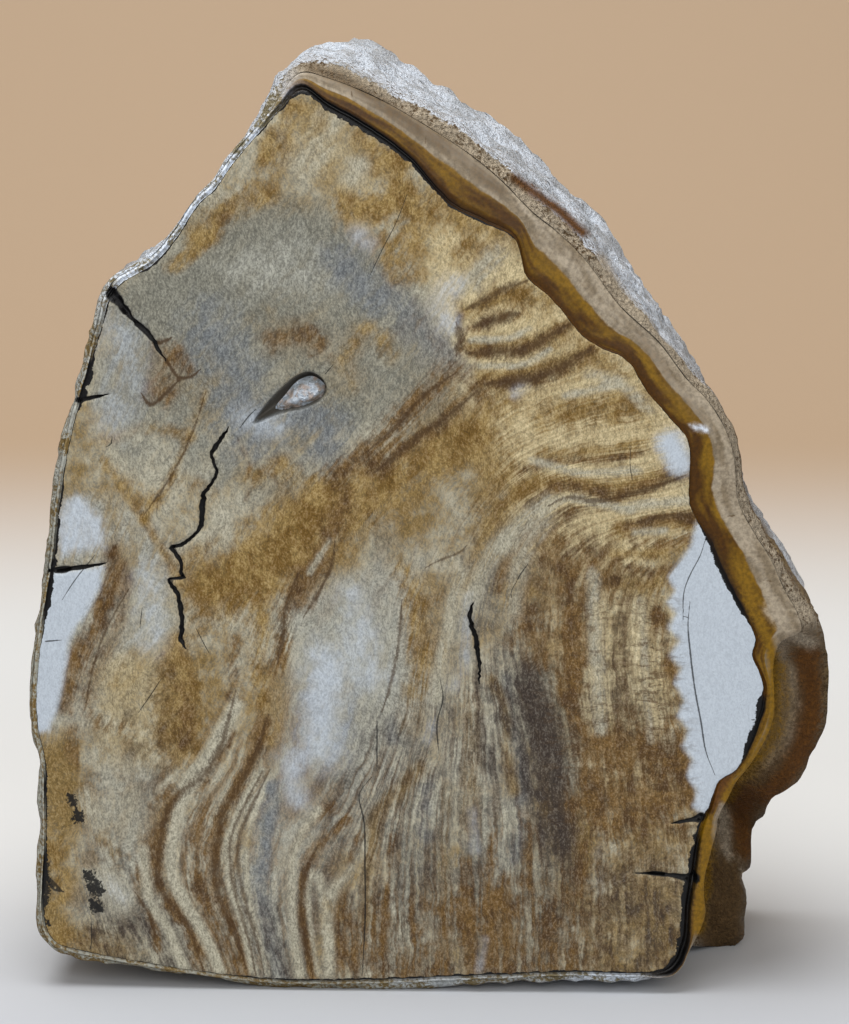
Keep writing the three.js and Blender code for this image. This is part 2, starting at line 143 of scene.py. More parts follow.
RIM = [
    [-22, 169.2], [-18.5, 169.7], [-14.5, 168.7], [-11, 167], [-6, 164.2], [-2, 162.2], [4.5, 158.5],
    [9.5, 155], [15, 150.5], [19, 146], [24, 142], [27.5, 138], [31.5, 133], [35, 129], [39, 124.5],
    [43, 119.5], [47, 115], [50.5, 111.8], [53.5, 108], [56, 103], [57, 98.5], [58, 92.5], [61, 85.8],
    [63.5, 82.5], [68, 75], [70.8, 70.5], [72.6, 65.5], [73.6, 57], [73.8, 52], [73.2, 47.2], [71, 43.2],
    [70, 39.8], [67.2, 36.2], [64.6, 34], [63.6, 31], [62.8, 27.4], [61.2, 23.5], [61.4, 19.5], [61.2, 16],
    [59.2, 14.2], [59.4, 12], [60.6, 9.8], [60.2, 5.5], [59.8, 1.5], [56.5, 0.2], [52, 1.2], [47.5, 2.4],
    [43.5, 2], [27, 1.6], [7.5, 0.8], [0, 0.2], [-11.5, -0.4], [-25.5, -0.4], [-34, 0.5], [-41, 2],
    [-50, 2.8], [-58, 4.4], [-65, 5.4], [-69.4, 7.6], [-71.4, 11], [-70.8, 30], [-70.8, 43], [-72, 50],
    [-72, 56.5], [-71, 65.5], [-69.3, 75], [-68.3, 81], [-66.5, 95], [-64.7, 104], [-63, 109.5],
    [-59.4, 121.5], [-56.8, 129.6], [-49, 134.8], [-44.9, 139.6], [-41.2, 145], [-37.7, 148.6],
    [-35.3, 152.2], [-29.8, 158.8], [-25.8, 165.8],
]
BACK_EDGE = [
    [-25, 167.6], [-17, 171.8], [-12.5, 171.6], [-3, 165.6], [6.4, 159], [19.2, 149], [32.6, 135.6],
    [38.8, 127.2], [46.8, 113.6], [51, 106.6], [55.2, 97], [58.8, 87], [65, 78], [70, 67], [71, 57],
    [69.5, 46], [65, 36.5], [61, 27], [60, 16], [59, 6], [57, -0.5], [45, -0.7], [20, -0.7], [-10, -0.7],
    [-35, -0.5], [-50, 2], [-62, 5], [-68, 9.5], [-69.5, 22], [-69.5, 35], [-70.5, 50], [-70, 65], [-68, 80],
    [-65.5, 95], [-62, 109], [-57.8, 121.5], [-55, 129.6], [-47, 136], [-39.6, 145.5], [-34, 152.5],
    [-29.4, 160.4],
]

# The crevice beside the wood, as [direction in degrees, width, depth].
CREVICE = [
    [-180, 0.4, 0.3], [-134, 0.5, 0.4], [-110, 0.4, 0.3], [-60, 0.5, 0.4], [-57, 1.6, 1.6], [-54, 2.2, 2.2],
    [-47, 1.8, 2.2], [-40, 0.8, 1.2], [-34, 0.3, 0.2], [-27, 0.5, 0.4], [-22, 0.9, 0.7], [-15, 0.4, 0.3],
    [-7, 0.6, 0.4], [10, 0.4, 0.3], [60, 0.4, 0.2], [80, 0.7, 0.5], [96, 1.2, 0.9], [103, 1.3, 1],
    [108, 0.6, 0.6], [136, 0.7, 0.6], [150, 0.4, 0.3], [180, 0.4, 0.3],
]

# Set back of the ground edge, the broken ledge's foot and the rim, as [direction, edge, foot, rim].
SET_BACK = [
    [-180, 0.3, 0.7, 1.6], [-60, 0.3, 0.8, 1.8], [-58, 0.4, 6, 9], [-56, 0.5, 22, 24], [-53, 0.6, 28, 30],
    [-41, 0.6, 27, 29], [-38, 0.6, 20, 23], [-35, 0.6, 12, 15], [-31, 0.5, 8, 11], [-20, 0.5, 6.5, 9],
    [-14.5, 0.5, 5.5, 8], [-12, 0.8, 3, 6.5], [-9, 1, 1.6, 4.5], [0, 1.1, 1.6, 3.6], [60, 1, 1.5, 3.4],
    [100, 0.9, 1.4, 3.2], [106, 0.4, 0.9, 2], [180, 0.3, 0.7, 1.6],
]

# Width of the black mineral seam inside the wood's edge, as [direction, width], and the widths over which it
# begins to show.
MINERAL_SEAM = [
    [-180, 0.5], [-172, 0.5], [-166, 0.1], [-150, 0.1], [-147, 0.5], [-142, 0.2], [-138, 0.6], [-132, 0.1],
    [-115, 0.1], [-105, 0.3], [-60, 0.3], [-57, 0.5], [-55, 0.8], [-52, 0.9], [-48, 0.7], [-43, 0.5],
    [-38, 0.1], [-31, 0.1], [-29, 0.7], [-22, 0.9], [-20, 0.1], [-12, 0.1], [-8, 0.5], [4, 0.4], [8, 0.1],
    [65, 0.1], [80, 0.3], [88, 0.5], [96, 0.7], [102, 0.4], [110, 0.15], [125, 0.2], [131, 0.3], [133, 0.1],
    [135, 0.2], [146, 0.3], [149, 0.7], [153, 0.6], [155, 0.15], [163, 0.15], [168, 0.3], [180, 0.4],
]
SEAM_SHOWN = (0.1, 0.5)

# How much of the outside is white chalk, not brown crust, as [direction, share], and how that grows behind.
CHALKY = [
    [-180, 0], [-96, 0], [-88, 0.45], [-74, 0.3], [-66, 0.9], [-60, 0.9], [-56, 0.3], [-40, 0.2], [-20, 0.05],
    [22, 0.05], [34, 0.85], [48, 1], [134, 1], [141, 0.15], [180, 0],
]
CHALKY_BEHIND = (-16, 8)
CHALKY_SHARE_BEHIND = 0.75

# Directions over which the bark side's bands begin and end; a thin rind takes their place elsewhere.
BARK_START = (-62, -56)
BARK_END = (108, 100)

# Open cracks in the face, as [x, z, half width] from end to end.
CRACKS = [
    [
        [-35.1, 104.7, 0.1], [-36.9, 101.8, 0.45], [-38.2, 99.8, 0.3], [-37.2, 96.7, 0.3],
        [-38.1, 94.4, 0.25], [-39.5, 92.7, 0.4], [-40.1, 86.9, 0.45], [-41.1, 85.2, 0.3], [-43.5, 83.3, 0.3],
        [-45.6, 82.8, 0.3], [-44, 80.6, 0.35], [-43.5, 77.2, 0.35], [-46.2, 77, 0.3], [-44.4, 74.2, 0.4],
        [-43.7, 69.5, 0.4], [-44.2, 65.8, 0.4], [-43.1, 64.1, 0.1],
    ],
    [
        [-57.6, 130.6, 0.6], [-55.6, 128.5, 1.1], [-54, 126.6, 1], [-52.3, 124.4, 0.4], [-48.8, 121, 0.45],
        [-46, 116.5, 0.1],
    ],
    [[-64.5, 108.8, 0.5], [-61.5, 109.4, 0.5], [-56.5, 110.5, 0.1]],
    [[-71.5, 78.2, 0.5], [-65.7, 78.5, 0.6], [-61.2, 79.1, 0.4], [-57.4, 79.8, 0.1]],
    [[8.7, 72.9, 0.1], [8, 70.6, 0.45], [9.1, 66.9, 0.4], [10, 61.6, 0.35], [9.8, 58, 0.1]],
    [[44.8, 32.4, 0.1], [48.2, 33.1, 0.45], [50.4, 33.5, 0.9]],
    [[38.6, 23, 0.1], [42, 23, 0.4], [45.5, 22.6, 0.5], [49.2, 22, 0.9]],
]

# The hollow as [x, z], how close its edge's points are, and its depth as [distance inside its edge, depth].
HOLLOW = [
    [-30.8, 105.2], [-28.6, 108.6], [-25, 112.4], [-22.8, 114.1], [-20.6, 114.8], [-18.8, 114.1],
    [-17.5, 112.6], [-17.4, 110.8], [-18.8, 109.2], [-21.2, 108], [-25.6, 107],
]
HOLLOW_SPACING = 0.4
HOLLOW_PROFILE = [[0, 0], [0.25, 1.9], [1, 3.6], [2.2, 4.6]]

# The crust of crystals: its outline as [x, z] and how far that is spread. Its edge, top and floor are depths
# below the face, and it rises inside its edge over the width of its shoulder.
CRUST = [
    [-26.4, 107.9], [-24.6, 110.4], [-22.6, 112.6], [-20.3, 113.3], [-18.7, 112.4], [-18, 110.9],
    [-19.2, 109.5], [-21.6, 108.5],
]
CRUST_SPREAD = 1.1
CRUST_SPACING = 0.28
CRUST_EDGE = 2.4
CRUST_RISE = 1.7
CRUST_SHOULDER = 1.3
CRUST_TOP = 0.35
CRUST_FLOOR = 4.2
CRUST_THINNEST = 0.5
CRUST_LUMP = 1.1
CRUST_BASE_SHARE = 0.85

# Distance between the points that are taken along a growth ring.
RING_SPACING = 11

# Growth rings followed across the face, as [ring number, x and y of its pixels in turn, from the foot up].
GROWTH_RINGS = [
    [2, 45, 900, 42, 780, 50, 640, 85, 500, 120, 400, 180, 300, 250, 200, 320, 120],
    [14, 100, 960, 70, 860, 62, 740, 85, 660, 118, 580, 160, 490, 225, 410, 300, 340, 370, 270, 430, 200],
    [37, 206, 968, 170, 905, 158, 883, 162, 842, 170, 803, 192, 779, 236, 686, 262, 640, 300, 560, 345, 490,
     400, 430, 450, 380, 500, 320, 545, 280],
    [45, 247, 976, 225, 911, 215, 882, 215, 851, 237, 787, 253, 758, 275, 670, 300, 610, 340, 550, 400, 470,
     470, 400, 530, 365, 600, 330],
    [56, 313, 976, 301, 914, 304, 873, 317, 844, 355, 790, 385, 710, 400, 620, 425, 550, 480, 470, 545, 420,
     650, 390],
    [72, 400, 980, 400, 900, 405, 820, 430, 720, 440, 640, 460, 560, 500, 500, 550, 465, 620, 455, 690, 440],
    [90, 500, 980, 500, 850, 495, 750, 485, 660, 490, 600, 510, 550, 549, 500, 612, 494, 690, 475],
    [106, 590, 980, 590, 850, 580, 740, 568, 650, 570, 590, 590, 545, 640, 528, 692, 516],
    [122, 680, 960, 672, 850, 655, 740, 645, 650, 650, 600, 668, 575, 695, 545],
]

# Strokes of each stain on the face, as [strength, half width, x and y of the pixels along it in turn].
STAINS = {
    "grey": [
        [0.8, 40, 165, 300, 235, 270, 300, 240, 350, 265], [0.6, 30, 190, 450, 260, 480, 330, 470],
        [0.5, 22, 365, 525, 395, 560], [0.5, 24, 125, 400, 130, 450], [0.5, 22, 550, 880, 550, 950],
        [0.5, 14, 405, 850, 405, 900],
    ],
    "blue": [
        [0.7, 38, 210, 330, 235, 380, 250, 430], [0.75, 24, 340, 262, 372, 290, 408, 313, 430, 338, 448, 355],
        [0.7, 26, 300, 410, 330, 430, 325, 460], [0.5, 12, 470, 372, 487, 403],
        [0.65, 11, 272, 787, 266, 835, 260, 883, 272, 946, 279, 978],
        [0.6, 9, 507, 679, 510, 730, 520, 755, 521, 820, 514, 860], [0.6, 11, 427, 787, 424, 838],
        [0.6, 8, 599, 849, 601, 901], [0.5, 8, 392, 722, 392, 740],
    ],
    "gold": [
        [0.75, 11, 288, 108, 300, 112], [0.65, 10, 318, 116, 322, 122], [0.85, 11, 274, 136, 265, 158],
        [0.7, 10, 288, 128, 288, 158], [0.4, 9, 276, 178, 273, 198],
        [0.75, 16, 260, 192, 232, 206, 206, 226, 198, 237], [0.7, 10, 212, 237, 172, 265],
        [0.75, 16, 362, 138, 395, 156], [0.8, 18, 347, 198, 372, 212, 400, 200],
        [0.8, 18, 394, 167, 403, 198, 414, 215], [0.7, 22, 440, 200, 480, 222, 500, 240, 470, 250],
        [0.6, 18, 414, 237, 394, 248, 400, 270], [0.4, 26, 560, 345, 600, 370, 640, 400],
        [0.65, 24, 478, 440, 500, 475, 492, 520], [0.45, 24, 500, 300, 550, 300],
        [0.5, 14, 361, 333, 345, 360, 349, 383], [0.45, 12, 378, 333, 388, 355],
        [0.95, 34, 205, 590, 250, 570, 290, 540, 320, 500], [0.6, 22, 340, 500, 400, 470, 460, 440, 500, 400],
        [0.5, 12, 175, 640, 185, 690, 172, 735], [0.7, 9, 465, 312, 490, 302, 520, 290],
        [0.7, 9, 470, 345, 500, 346, 530, 342, 556, 328], [0.8, 10, 480, 378, 526, 374, 560, 364, 590, 348],
        [0.7, 16, 545, 415, 600, 408, 640, 404], [0.6, 8, 540, 455, 600, 452, 640, 446],
        [0.8, 9, 520, 492, 560, 482, 612, 486, 650, 478, 688, 466], [0.85, 10, 620, 530, 660, 524, 692, 520],
        [0.8, 8, 610, 555, 660, 552, 688, 546], [0.8, 12, 600, 580, 650, 585, 672, 575],
        [0.55, 14, 248, 481, 282, 467], [0.5, 12, 112, 470, 140, 500],
        [0.5, 18, 432, 590, 424, 660, 412, 720], [0.6, 9, 421, 768, 396, 793, 376, 816, 370, 851, 366, 920],
        [0.7, 7, 491, 679, 504, 704, 507, 755, 514, 790], [0.75, 6, 523, 691, 536, 723, 546, 771, 546, 806],
        [0.6, 18, 60, 850, 58, 890], [0.55, 26, 65, 945, 110, 948], [0.5, 14, 110, 850, 103, 835],
        [0.5, 12, 285, 640, 282, 700, 270, 740], [0.7, 7, 466, 588, 480, 545, 500, 512, 536, 478],
        [0.6, 14, 400, 560, 412, 600, 420, 660], [0.5, 12, 470, 700, 472, 760, 470, 830],
        [0.3, 8, 448, 790, 444, 850, 446, 960], [0.55, 6, 104, 460, 128, 496, 160, 545, 180, 585],
        [0.5, 5, 206, 391, 187, 439, 160, 500, 142, 522], [0.45, 8, 100, 442, 150, 428, 190, 436],
        [0.4, 10, 150, 500, 185, 480, 215, 500], [0.6, 12, 262, 620, 258, 660, 262, 700],
    ],
    "brown": [
        [0.7, 9, 183, 688, 187, 715, 184, 742], [0.75, 15, 271, 341, 299, 333, 321, 347],
        [0.6, 7, 223, 220, 228, 216], [0.7, 16, 453, 375, 423, 397, 394, 428, 366, 453, 338, 473],
        [0.75, 10, 476, 391, 448, 417, 423, 434, 406, 448, 375, 473], [0.8, 14, 345, 500, 325, 545, 303, 600],
        [0.65, 10, 298, 573, 285, 608, 282, 645, 275, 670],
        [0.85, 13, 114, 552, 116, 580, 106, 605, 97, 627, 78, 653, 71, 678, 64, 706],
        [0.6, 8, 126, 564, 129, 592, 122, 618, 110, 643, 94, 678, 87, 710], [0.55, 11, 103, 722, 126, 732],
        [0.55, 9, 70, 730, 75, 760], [0.7, 6, 459, 318, 462, 335, 459, 349],
        [0.7, 7, 473, 327, 495, 319, 518, 313], [0.7, 7, 470, 352, 498, 352, 526, 349, 549, 335, 568, 324],
        [0.75, 8, 484, 383, 526, 380, 554, 372, 577, 358, 591, 349],
        [0.75, 6, 520, 472, 557, 461, 612, 460, 640, 452],
        [0.8, 8, 531, 509, 550, 491, 575, 487, 612, 495, 642, 487, 690, 475],
        [0.85, 8, 631, 527, 660, 520, 692, 516], [0.6, 7, 500, 590, 508, 560, 531, 532, 570, 512, 612, 506],
        [0.7, 7, 631, 543, 668, 543, 690, 538], [0.7, 7, 625, 566, 660, 572, 676, 566],
        [0.6, 16, 530, 530, 552, 560, 570, 600, 576, 640, 574, 690],
        [0.2, 15, 606, 560, 618, 600, 624, 650, 626, 700, 632, 755],
        [0.6, 8, 660, 610, 668, 650, 674, 700, 682, 760, 690, 800], [0.7, 16, 594, 745, 640, 745, 675, 765],
        [0.65, 20, 580, 800, 640, 800, 680, 795], [0.55, 8, 523, 812, 530, 838, 528, 883],
        [0.6, 6, 583, 846, 581, 894], [0.8, 5, 668, 662, 674, 675], [0.8, 6, 679, 735, 684, 768, 690, 800],
        [0.55, 9, 655, 616, 660, 624],
        [0.75, 10, 228, 736, 208, 771, 189, 790, 170, 806, 161, 844, 157, 876, 167, 899, 186, 921, 196, 946,
         205, 975],
        [0.6, 15, 205, 810, 195, 850, 197, 880, 212, 930, 228, 970],
        [0.8, 9, 266, 723, 253, 758, 237, 787, 221, 819, 215, 851, 215, 883, 224, 911, 237, 937, 247, 972],
        [0.7, 7, 330, 806, 307, 827, 290, 852],
        [0.75, 6, 348, 819, 319, 844, 305, 876, 302, 914, 308, 946, 314, 976],
        [0.6, 8, 360, 838, 343, 870, 341, 914, 342, 968], [0.6, 5, 392, 835, 386, 883, 385, 970],
        [0.6, 7, 466, 860, 466, 915, 472, 972], [0.6, 7, 491, 835, 491, 899, 491, 972],
        [0.6, 7, 507, 876, 507, 970], [0.6, 5, 135, 895, 154, 924, 158, 950], [0.5, 5, 399, 574, 400, 579],
        [0.9, 4, 229, 694, 231, 704], [0.8, 4, 206, 762, 199, 776], [0.8, 4, 188, 790, 175, 799],
        [0.5, 5, 120, 776, 130, 786, 122, 793], [0.45, 4, 240, 440, 250, 470, 246, 500],
        [0.5, 12, 170, 780, 150, 830, 140, 880], [0.5, 9, 235, 640, 232, 670, 240, 700],
    ],
    "violet": [
        [0.85, 23, 532, 675, 546, 730, 556, 790, 560, 845], [0.4, 14, 570, 870, 560, 940],
    ],
    "cream": [
        [0.6, 22, 330, 125, 305, 165], [0.7, 15, 355, 165, 352, 178], [0.6, 16, 498, 255, 470, 285],
        [0.7, 5, 565, 395, 620, 385], [0.7, 5, 532, 460, 583, 473, 640, 470],
        [0.75, 5, 542, 512, 564, 498, 594, 503, 627, 510], [0.75, 6, 631, 508, 660, 503, 690, 499],
        [0.7, 5, 635, 532, 665, 530], [0.7, 4, 470, 340, 510, 338, 530, 328],
        [0.7, 4, 480, 366, 525, 364, 550, 350], [0.8, 4, 238, 690, 205, 752, 180, 786],
        [0.95, 7, 238, 705, 206, 764, 181, 806, 172, 844, 173, 876, 185, 902, 204, 934, 220, 972],
        [0.8, 6, 143, 850, 150, 900, 168, 930, 185, 970],
        [0.9, 4, 262, 770, 240, 810, 229, 845, 230, 883, 241, 918, 252, 972],
        [0.7, 3, 258, 800, 247, 840, 247, 880, 254, 918, 268, 975],
        [0.8, 6, 318, 810, 296, 845, 292, 880, 294, 940, 300, 975], [0.7, 3, 312, 870, 308, 900, 318, 975],
        [0.6, 8, 350, 870, 330, 900, 328, 975], [0.6, 4, 329, 541, 310, 573],
        [0.6, 5, 319, 876, 325, 914, 330, 970], [0.45, 20, 120, 770, 130, 830],
        [0.6, 7, 453, 557, 459, 576, 453, 596, 447, 634, 440, 663, 436, 700],
        [0.6, 12, 505, 541, 482, 564, 475, 583, 471, 597], [0.6, 9, 549, 500, 523, 520, 504, 545],
        [0.65, 8, 593, 575, 596, 650, 600, 730], [0.4, 6, 640, 600, 646, 680, 652, 740],
        [0.5, 12, 545, 520, 522, 560, 512, 610], [0.6, 8, 590, 376, 622, 384, 650, 410],
        [0.7, 18, 105, 880, 120, 900], [0.6, 14, 85, 800, 100, 820],
    ],
    "white": [
        [0.35, 22, 148, 575, 152, 640], [0.35, 26, 105, 330, 130, 350, 115, 420],
        [0.65, 30, 328, 665, 322, 745], [0.45, 20, 352, 600, 375, 680], [0.45, 16, 290, 760, 300, 800],
        [0.3, 8, 469, 597, 466, 640, 466, 663, 453, 688], [0.3, 7, 427, 740, 432, 722],
        [0.3, 7, 472, 810, 475, 850], [0.3, 6, 485, 940, 478, 972], [0.4, 14, 366, 243, 360, 236],
        [0.5, 15, 453, 284, 440, 300, 450, 325], [0.4, 8, 523, 386, 515, 393], [1, 15, 670, 443, 680, 462],
        [0.3, 14, 108, 885, 122, 898], [0.45, 16, 245, 418, 275, 425],
    ],
    "straw": [
        [0.7, 14, 468, 296, 500, 262, 520, 258], [0.9, 9, 500, 332, 530, 325, 560, 312],
        [0.8, 16, 590, 400, 640, 380, 660, 400], [0.7, 9, 470, 368, 520, 366, 560, 352],
    ],
}

# Half widths over which a stroke fades out.
EDGE_SPREAD = 1.65

# Wider patches of each colour, as [strength, softness of the edge, x and y of the outline's pixels in turn].
PATCHES = {
    "grey": [
        [0.75, 34, 110, 290, 200, 200, 330, 200, 470, 320, 510, 400, 440, 440, 330, 440, 240, 420, 150, 440,
         100, 400],
        [0.6, 26, 380, 830, 450, 780, 560, 820, 560, 1000, 380, 1000],
    ],
    "bone": [
        [0.15, 24, 100, 330, 150, 330, 200, 420, 340, 470, 330, 520, 240, 560, 190, 540, 110, 480],
        [0.55, 20, 200, 260, 300, 230, 400, 290, 330, 300, 240, 290],
        [0.8, 26, 290, 590, 420, 550, 445, 700, 380, 790, 330, 850, 300, 1000, 250, 1000, 235, 880, 262, 780],
        [0.4, 26, 330, 830, 400, 740, 500, 700, 540, 1000, 310, 1000],
        [0.55, 18, 60, 490, 110, 490, 190, 540, 180, 650, 140, 650, 100, 720, 45, 740, 40, 640],
        [0.65, 20, 90, 740, 160, 740, 165, 940, 75, 920],
        [0.4, 16, 172, 820, 215, 790, 225, 850, 250, 1000, 170, 1000],
        [0.3, 30, 440, 560, 500, 520, 540, 560, 560, 800, 500, 900, 450, 760],
    ],
    "straw": [
        [0.95, 30, 430, 210, 520, 240, 690, 420, 700, 520, 640, 585, 520, 560, 480, 450, 430, 330],
        [0.45, 26, 270, 110, 330, 100, 420, 170, 540, 240, 540, 280, 430, 290, 340, 220],
        [0.75, 30, 540, 560, 680, 590, 690, 820, 590, 820, 540, 700],
        [0.6, 20, 95, 660, 160, 650, 165, 770, 95, 770],
    ],
    "gold": [
        [0.2, 30, 430, 210, 520, 240, 690, 420, 700, 520, 640, 585, 520, 560, 460, 430, 390, 330],
        [0.6, 30, 600, 820, 700, 810, 700, 900, 690, 990, 580, 990],
        [0.55, 26, 180, 560, 330, 480, 440, 400, 490, 430, 340, 570, 200, 640],
        [0.75, 14, 160, 650, 178, 632, 198, 660, 206, 700, 200, 755, 178, 772, 150, 750, 150, 700],
        [0.1, 30, 350, 830, 480, 760, 600, 850, 600, 1000, 340, 1000],
    ],
    "brown": [
        [0.65, 22, 572, 715, 680, 725, 690, 830, 580, 850],
        [0.5, 30, 310, 915, 600, 860, 600, 1000, 350, 1000],
        [0.6, 18, 530, 535, 560, 520, 605, 540, 618, 600, 580, 620, 575, 720, 560, 700, 530, 660, 505, 640,
         515, 580],
        [0.5, 8, 150, 336, 180, 340, 196, 372, 168, 410, 140, 400],
    ],
    "violet": [
        [0.36, 40, 470, 500, 560, 510, 650, 560, 650, 760, 560, 780, 470, 760, 450, 600],
        [0.36, 40, 300, 690, 690, 690, 700, 900, 300, 900],
        [0.52, 40, 90, 900, 700, 880, 700, 1000, 90, 1000], [0.3, 30, 85, 660, 190, 660, 200, 940, 85, 940],
    ],
    "white": [
        [0.95, 6, 50, 572, 104, 566, 98, 590, 84, 616, 70, 640, 60, 700, 50, 730, 34, 735, 34, 650, 44, 600],
        [0.75, 9, 62, 500, 80, 494, 104, 520, 106, 548, 60, 556, 54, 530],
        [1, 6, 697, 524, 691, 545, 668, 578, 676, 590, 667, 602, 676, 614, 668, 628, 679, 641, 670, 655, 681,
         668, 675, 684, 685, 700, 677, 716, 689, 730, 682, 746, 693, 760, 687, 776, 696, 790, 693, 806, 706,
         818, 745, 800, 785, 700, 780, 610, 745, 560, 712, 518],
    ],
}

# Fine lines on the face, as [half width, x and y of the pixels along it in turn].
LINES = {
    "ring": [
        [2.6, 236, 690, 218, 752, 200, 778, 178, 796, 166, 815, 160, 844, 157, 872, 162, 893, 180, 914, 192,
         935, 200, 960, 206, 978],
        [3.4, 268, 715, 257, 750, 240, 783, 224, 812, 217, 845, 216, 880, 224, 908, 237, 937, 246, 968],
        [1.5, 270, 770, 252, 806, 239, 838, 239, 873, 248, 911, 258, 946, 265, 978],
        [1.3, 262, 772, 244, 806, 231, 838, 231, 873, 240, 911, 250, 946, 256, 975],
        [2.4, 318, 845, 305, 873, 301, 914, 307, 946, 313, 976], [1.4, 135, 892, 150, 916, 157, 946],
        [2.8, 465, 310, 487, 299, 504, 289, 527, 281], [4, 474, 327, 495, 320, 520, 313],
        [4.6, 466, 353, 498, 352, 526, 349, 549, 336, 569, 324],
        [4.8, 486, 384, 526, 379, 554, 371, 577, 357, 594, 347], [2.6, 456, 322, 460, 340, 456, 356],
        [2.6, 477, 391, 448, 416, 423, 433, 406, 447, 374, 473], [2, 454, 374, 423, 396, 395, 427, 367, 452],
        [2, 548, 506, 568, 497, 597, 501, 639, 492, 689, 474], [2, 632, 524, 660, 517, 692, 514],
        [2, 299, 572, 286, 606, 283, 640, 277, 664], [1.3, 335, 541, 332, 564, 319, 592, 303, 618],
        [1.1, 402, 599, 399, 640, 392, 679, 382, 712],
        [0.8, 206, 391, 192, 434, 173, 473, 156, 498, 142, 518],
        [0.9, 467, 545, 460, 552, 440, 560, 425, 568], [0.8, 128, 590, 105, 632, 92, 672, 85, 710],
    ],
    "rust": [
        [2.6, 152, 343, 163, 342, 172, 337], [2.2, 160, 352, 170, 366, 178, 377, 190, 377, 201, 369],
        [2.6, 178, 381, 165, 394, 150, 405, 141, 393], [2.2, 50, 572, 60, 571, 72, 568],
    ],
    "hair": [
        [0.8, 377, 717, 377, 742, 377, 771],
        [1, 372, 777, 361, 790, 359, 797, 364, 822, 365, 867, 365, 921, 362, 978],
        [0.8, 440, 679, 443, 698, 437, 723, 439, 755], [0.8, 528, 564, 520, 575, 516, 583],
        [0.4, 516, 583, 511, 592, 513, 602], [0.6, 705, 541, 700, 556, 690, 575, 684, 592, 683, 620],
        [1, 690, 602, 688, 625, 690, 650, 695, 690, 701, 722, 706, 752, 715, 775],
        [0.5, 631, 446, 630, 462, 632, 480], [0.5, 407, 195, 395, 225, 382, 250, 370, 275],
        [0.6, 161, 679, 150, 696, 138, 713], [0.6, 142, 608, 140, 628], [0.6, 196, 628, 203, 642, 209, 653],
        [0.6, 62, 600, 75, 580, 95, 555], [0.7, 112, 436, 111, 444, 106, 447],
        [0.6, 91, 918, 91, 946, 84, 962], [1.9, 43, 862, 47, 876, 55, 884, 63, 892],
        [1.3, 64, 892, 53, 889, 46, 878], [0.7, 333, 365, 325, 374], [0.7, 256, 409, 248, 417, 240, 428],
        [0.8, 38, 642, 50, 641, 62, 640], [0.6, 645, 873, 660, 875, 672, 874],
    ],
    "dendrite": [
        [5, 68, 793, 72, 800, 76, 808], [8, 75, 812, 79, 817, 83, 821], [7, 84, 871, 90, 877, 96, 881],
        [9, 88, 887, 96, 889, 104, 891], [8, 90, 901, 96, 906, 102, 911], [4, 44, 800, 44, 815, 43, 828],
        [5, 44, 846, 45, 870, 46, 895, 44, 912], [3, 46, 920, 50, 926],
    ],
}

# Distance between points along a line, how sharply its ends taper, and how many half widths away it counts.
LINE_SPACING = 0.7
LINE_TAPER = 4
LINE_REACH = 9.0

# Pixels over which the edge of a zone fades.
ZONE_SOFTNESS = 60

# Where rings show as fine bands, break into level dashes or turn to golden mottling, as [strength, outline].
ZONES = {
    "banded": [
        [0.9, 150, 770, 300, 640, 330, 760, 420, 740, 470, 800, 560, 820, 600, 985, 190, 985],
        [0.55, 330, 800, 480, 640, 530, 700, 600, 830, 600, 985, 300, 985],
        [0.3, 330, 500, 480, 380, 560, 280, 690, 420, 690, 560, 520, 560, 430, 640, 300, 640],
        [0.55, 510, 560, 680, 590, 690, 830, 690, 975, 590, 975, 540, 700],
    ],
    "dashed": [
        [1, 625, 590, 668, 600, 690, 830, 640, 835], [0.65, 560, 575, 640, 590, 660, 835, 560, 835, 545, 700],
        [0.4, 590, 830, 690, 830, 680, 965, 590, 970],
    ],
    "mottled": [
        [1, 330, 120, 520, 215, 570, 300, 470, 300, 340, 270], [0.9, 60, 730, 150, 720, 160, 920, 70, 930],
        [0.6, 510, 540, 600, 530, 680, 600, 690, 830, 540, 830],
    ],
}

# Marks on the bark side, laid on what the camera sees there, as [strength, half width, x and y of pixels].
BARK_MARKS = {
    "honey": [
        [1, 7, 747, 590, 756, 615, 765, 632, 772, 655, 774, 690, 770, 730, 752, 762, 735, 785, 727, 798],
        [1, 8, 706, 822, 708, 850, 704, 880, 701, 905, 699, 930],
        [0.55, 9, 783, 668, 784, 705, 774, 745, 752, 775],
    ],
    "umber": [
        [1, 26, 806, 650, 806, 700, 790, 760, 750, 800, 738, 850, 722, 900, 720, 945],
        [0.6, 9, 312, 68, 345, 82, 400, 116, 450, 148, 500, 190], [0.4, 9, 640, 335, 675, 385, 705, 430],
        [0.9, 22, 722, 868, 728, 900, 722, 935],
    ],
    "cream": [
        [0.5, 6, 790, 668, 794, 705, 786, 738, 768, 765], [0.6, 7, 722, 470, 738, 500, 752, 540],
        [0.7, 8, 770, 610, 790, 632, 812, 644], [0.75, 6, 724, 806, 725, 835, 728, 856],
        [0.6, 4, 742, 862, 745, 885], [0.8, 7, 600, 258, 625, 300, 660, 345, 700, 395],
    ],
    "rust": [
        [1, 13, 808, 660, 812, 700, 806, 735, 793, 765, 768, 796], [0.9, 8, 800, 655, 815, 652],
        [0.9, 13, 726, 785, 722, 798], [0.9, 13, 745, 790, 742, 820, 746, 850],
        [0.95, 6, 514, 178, 531, 190, 545, 200, 560, 211, 575, 226, 584, 233],
    ],
    "pale": [
        [0.9, 4, 694, 427, 705, 429],
    ],
}

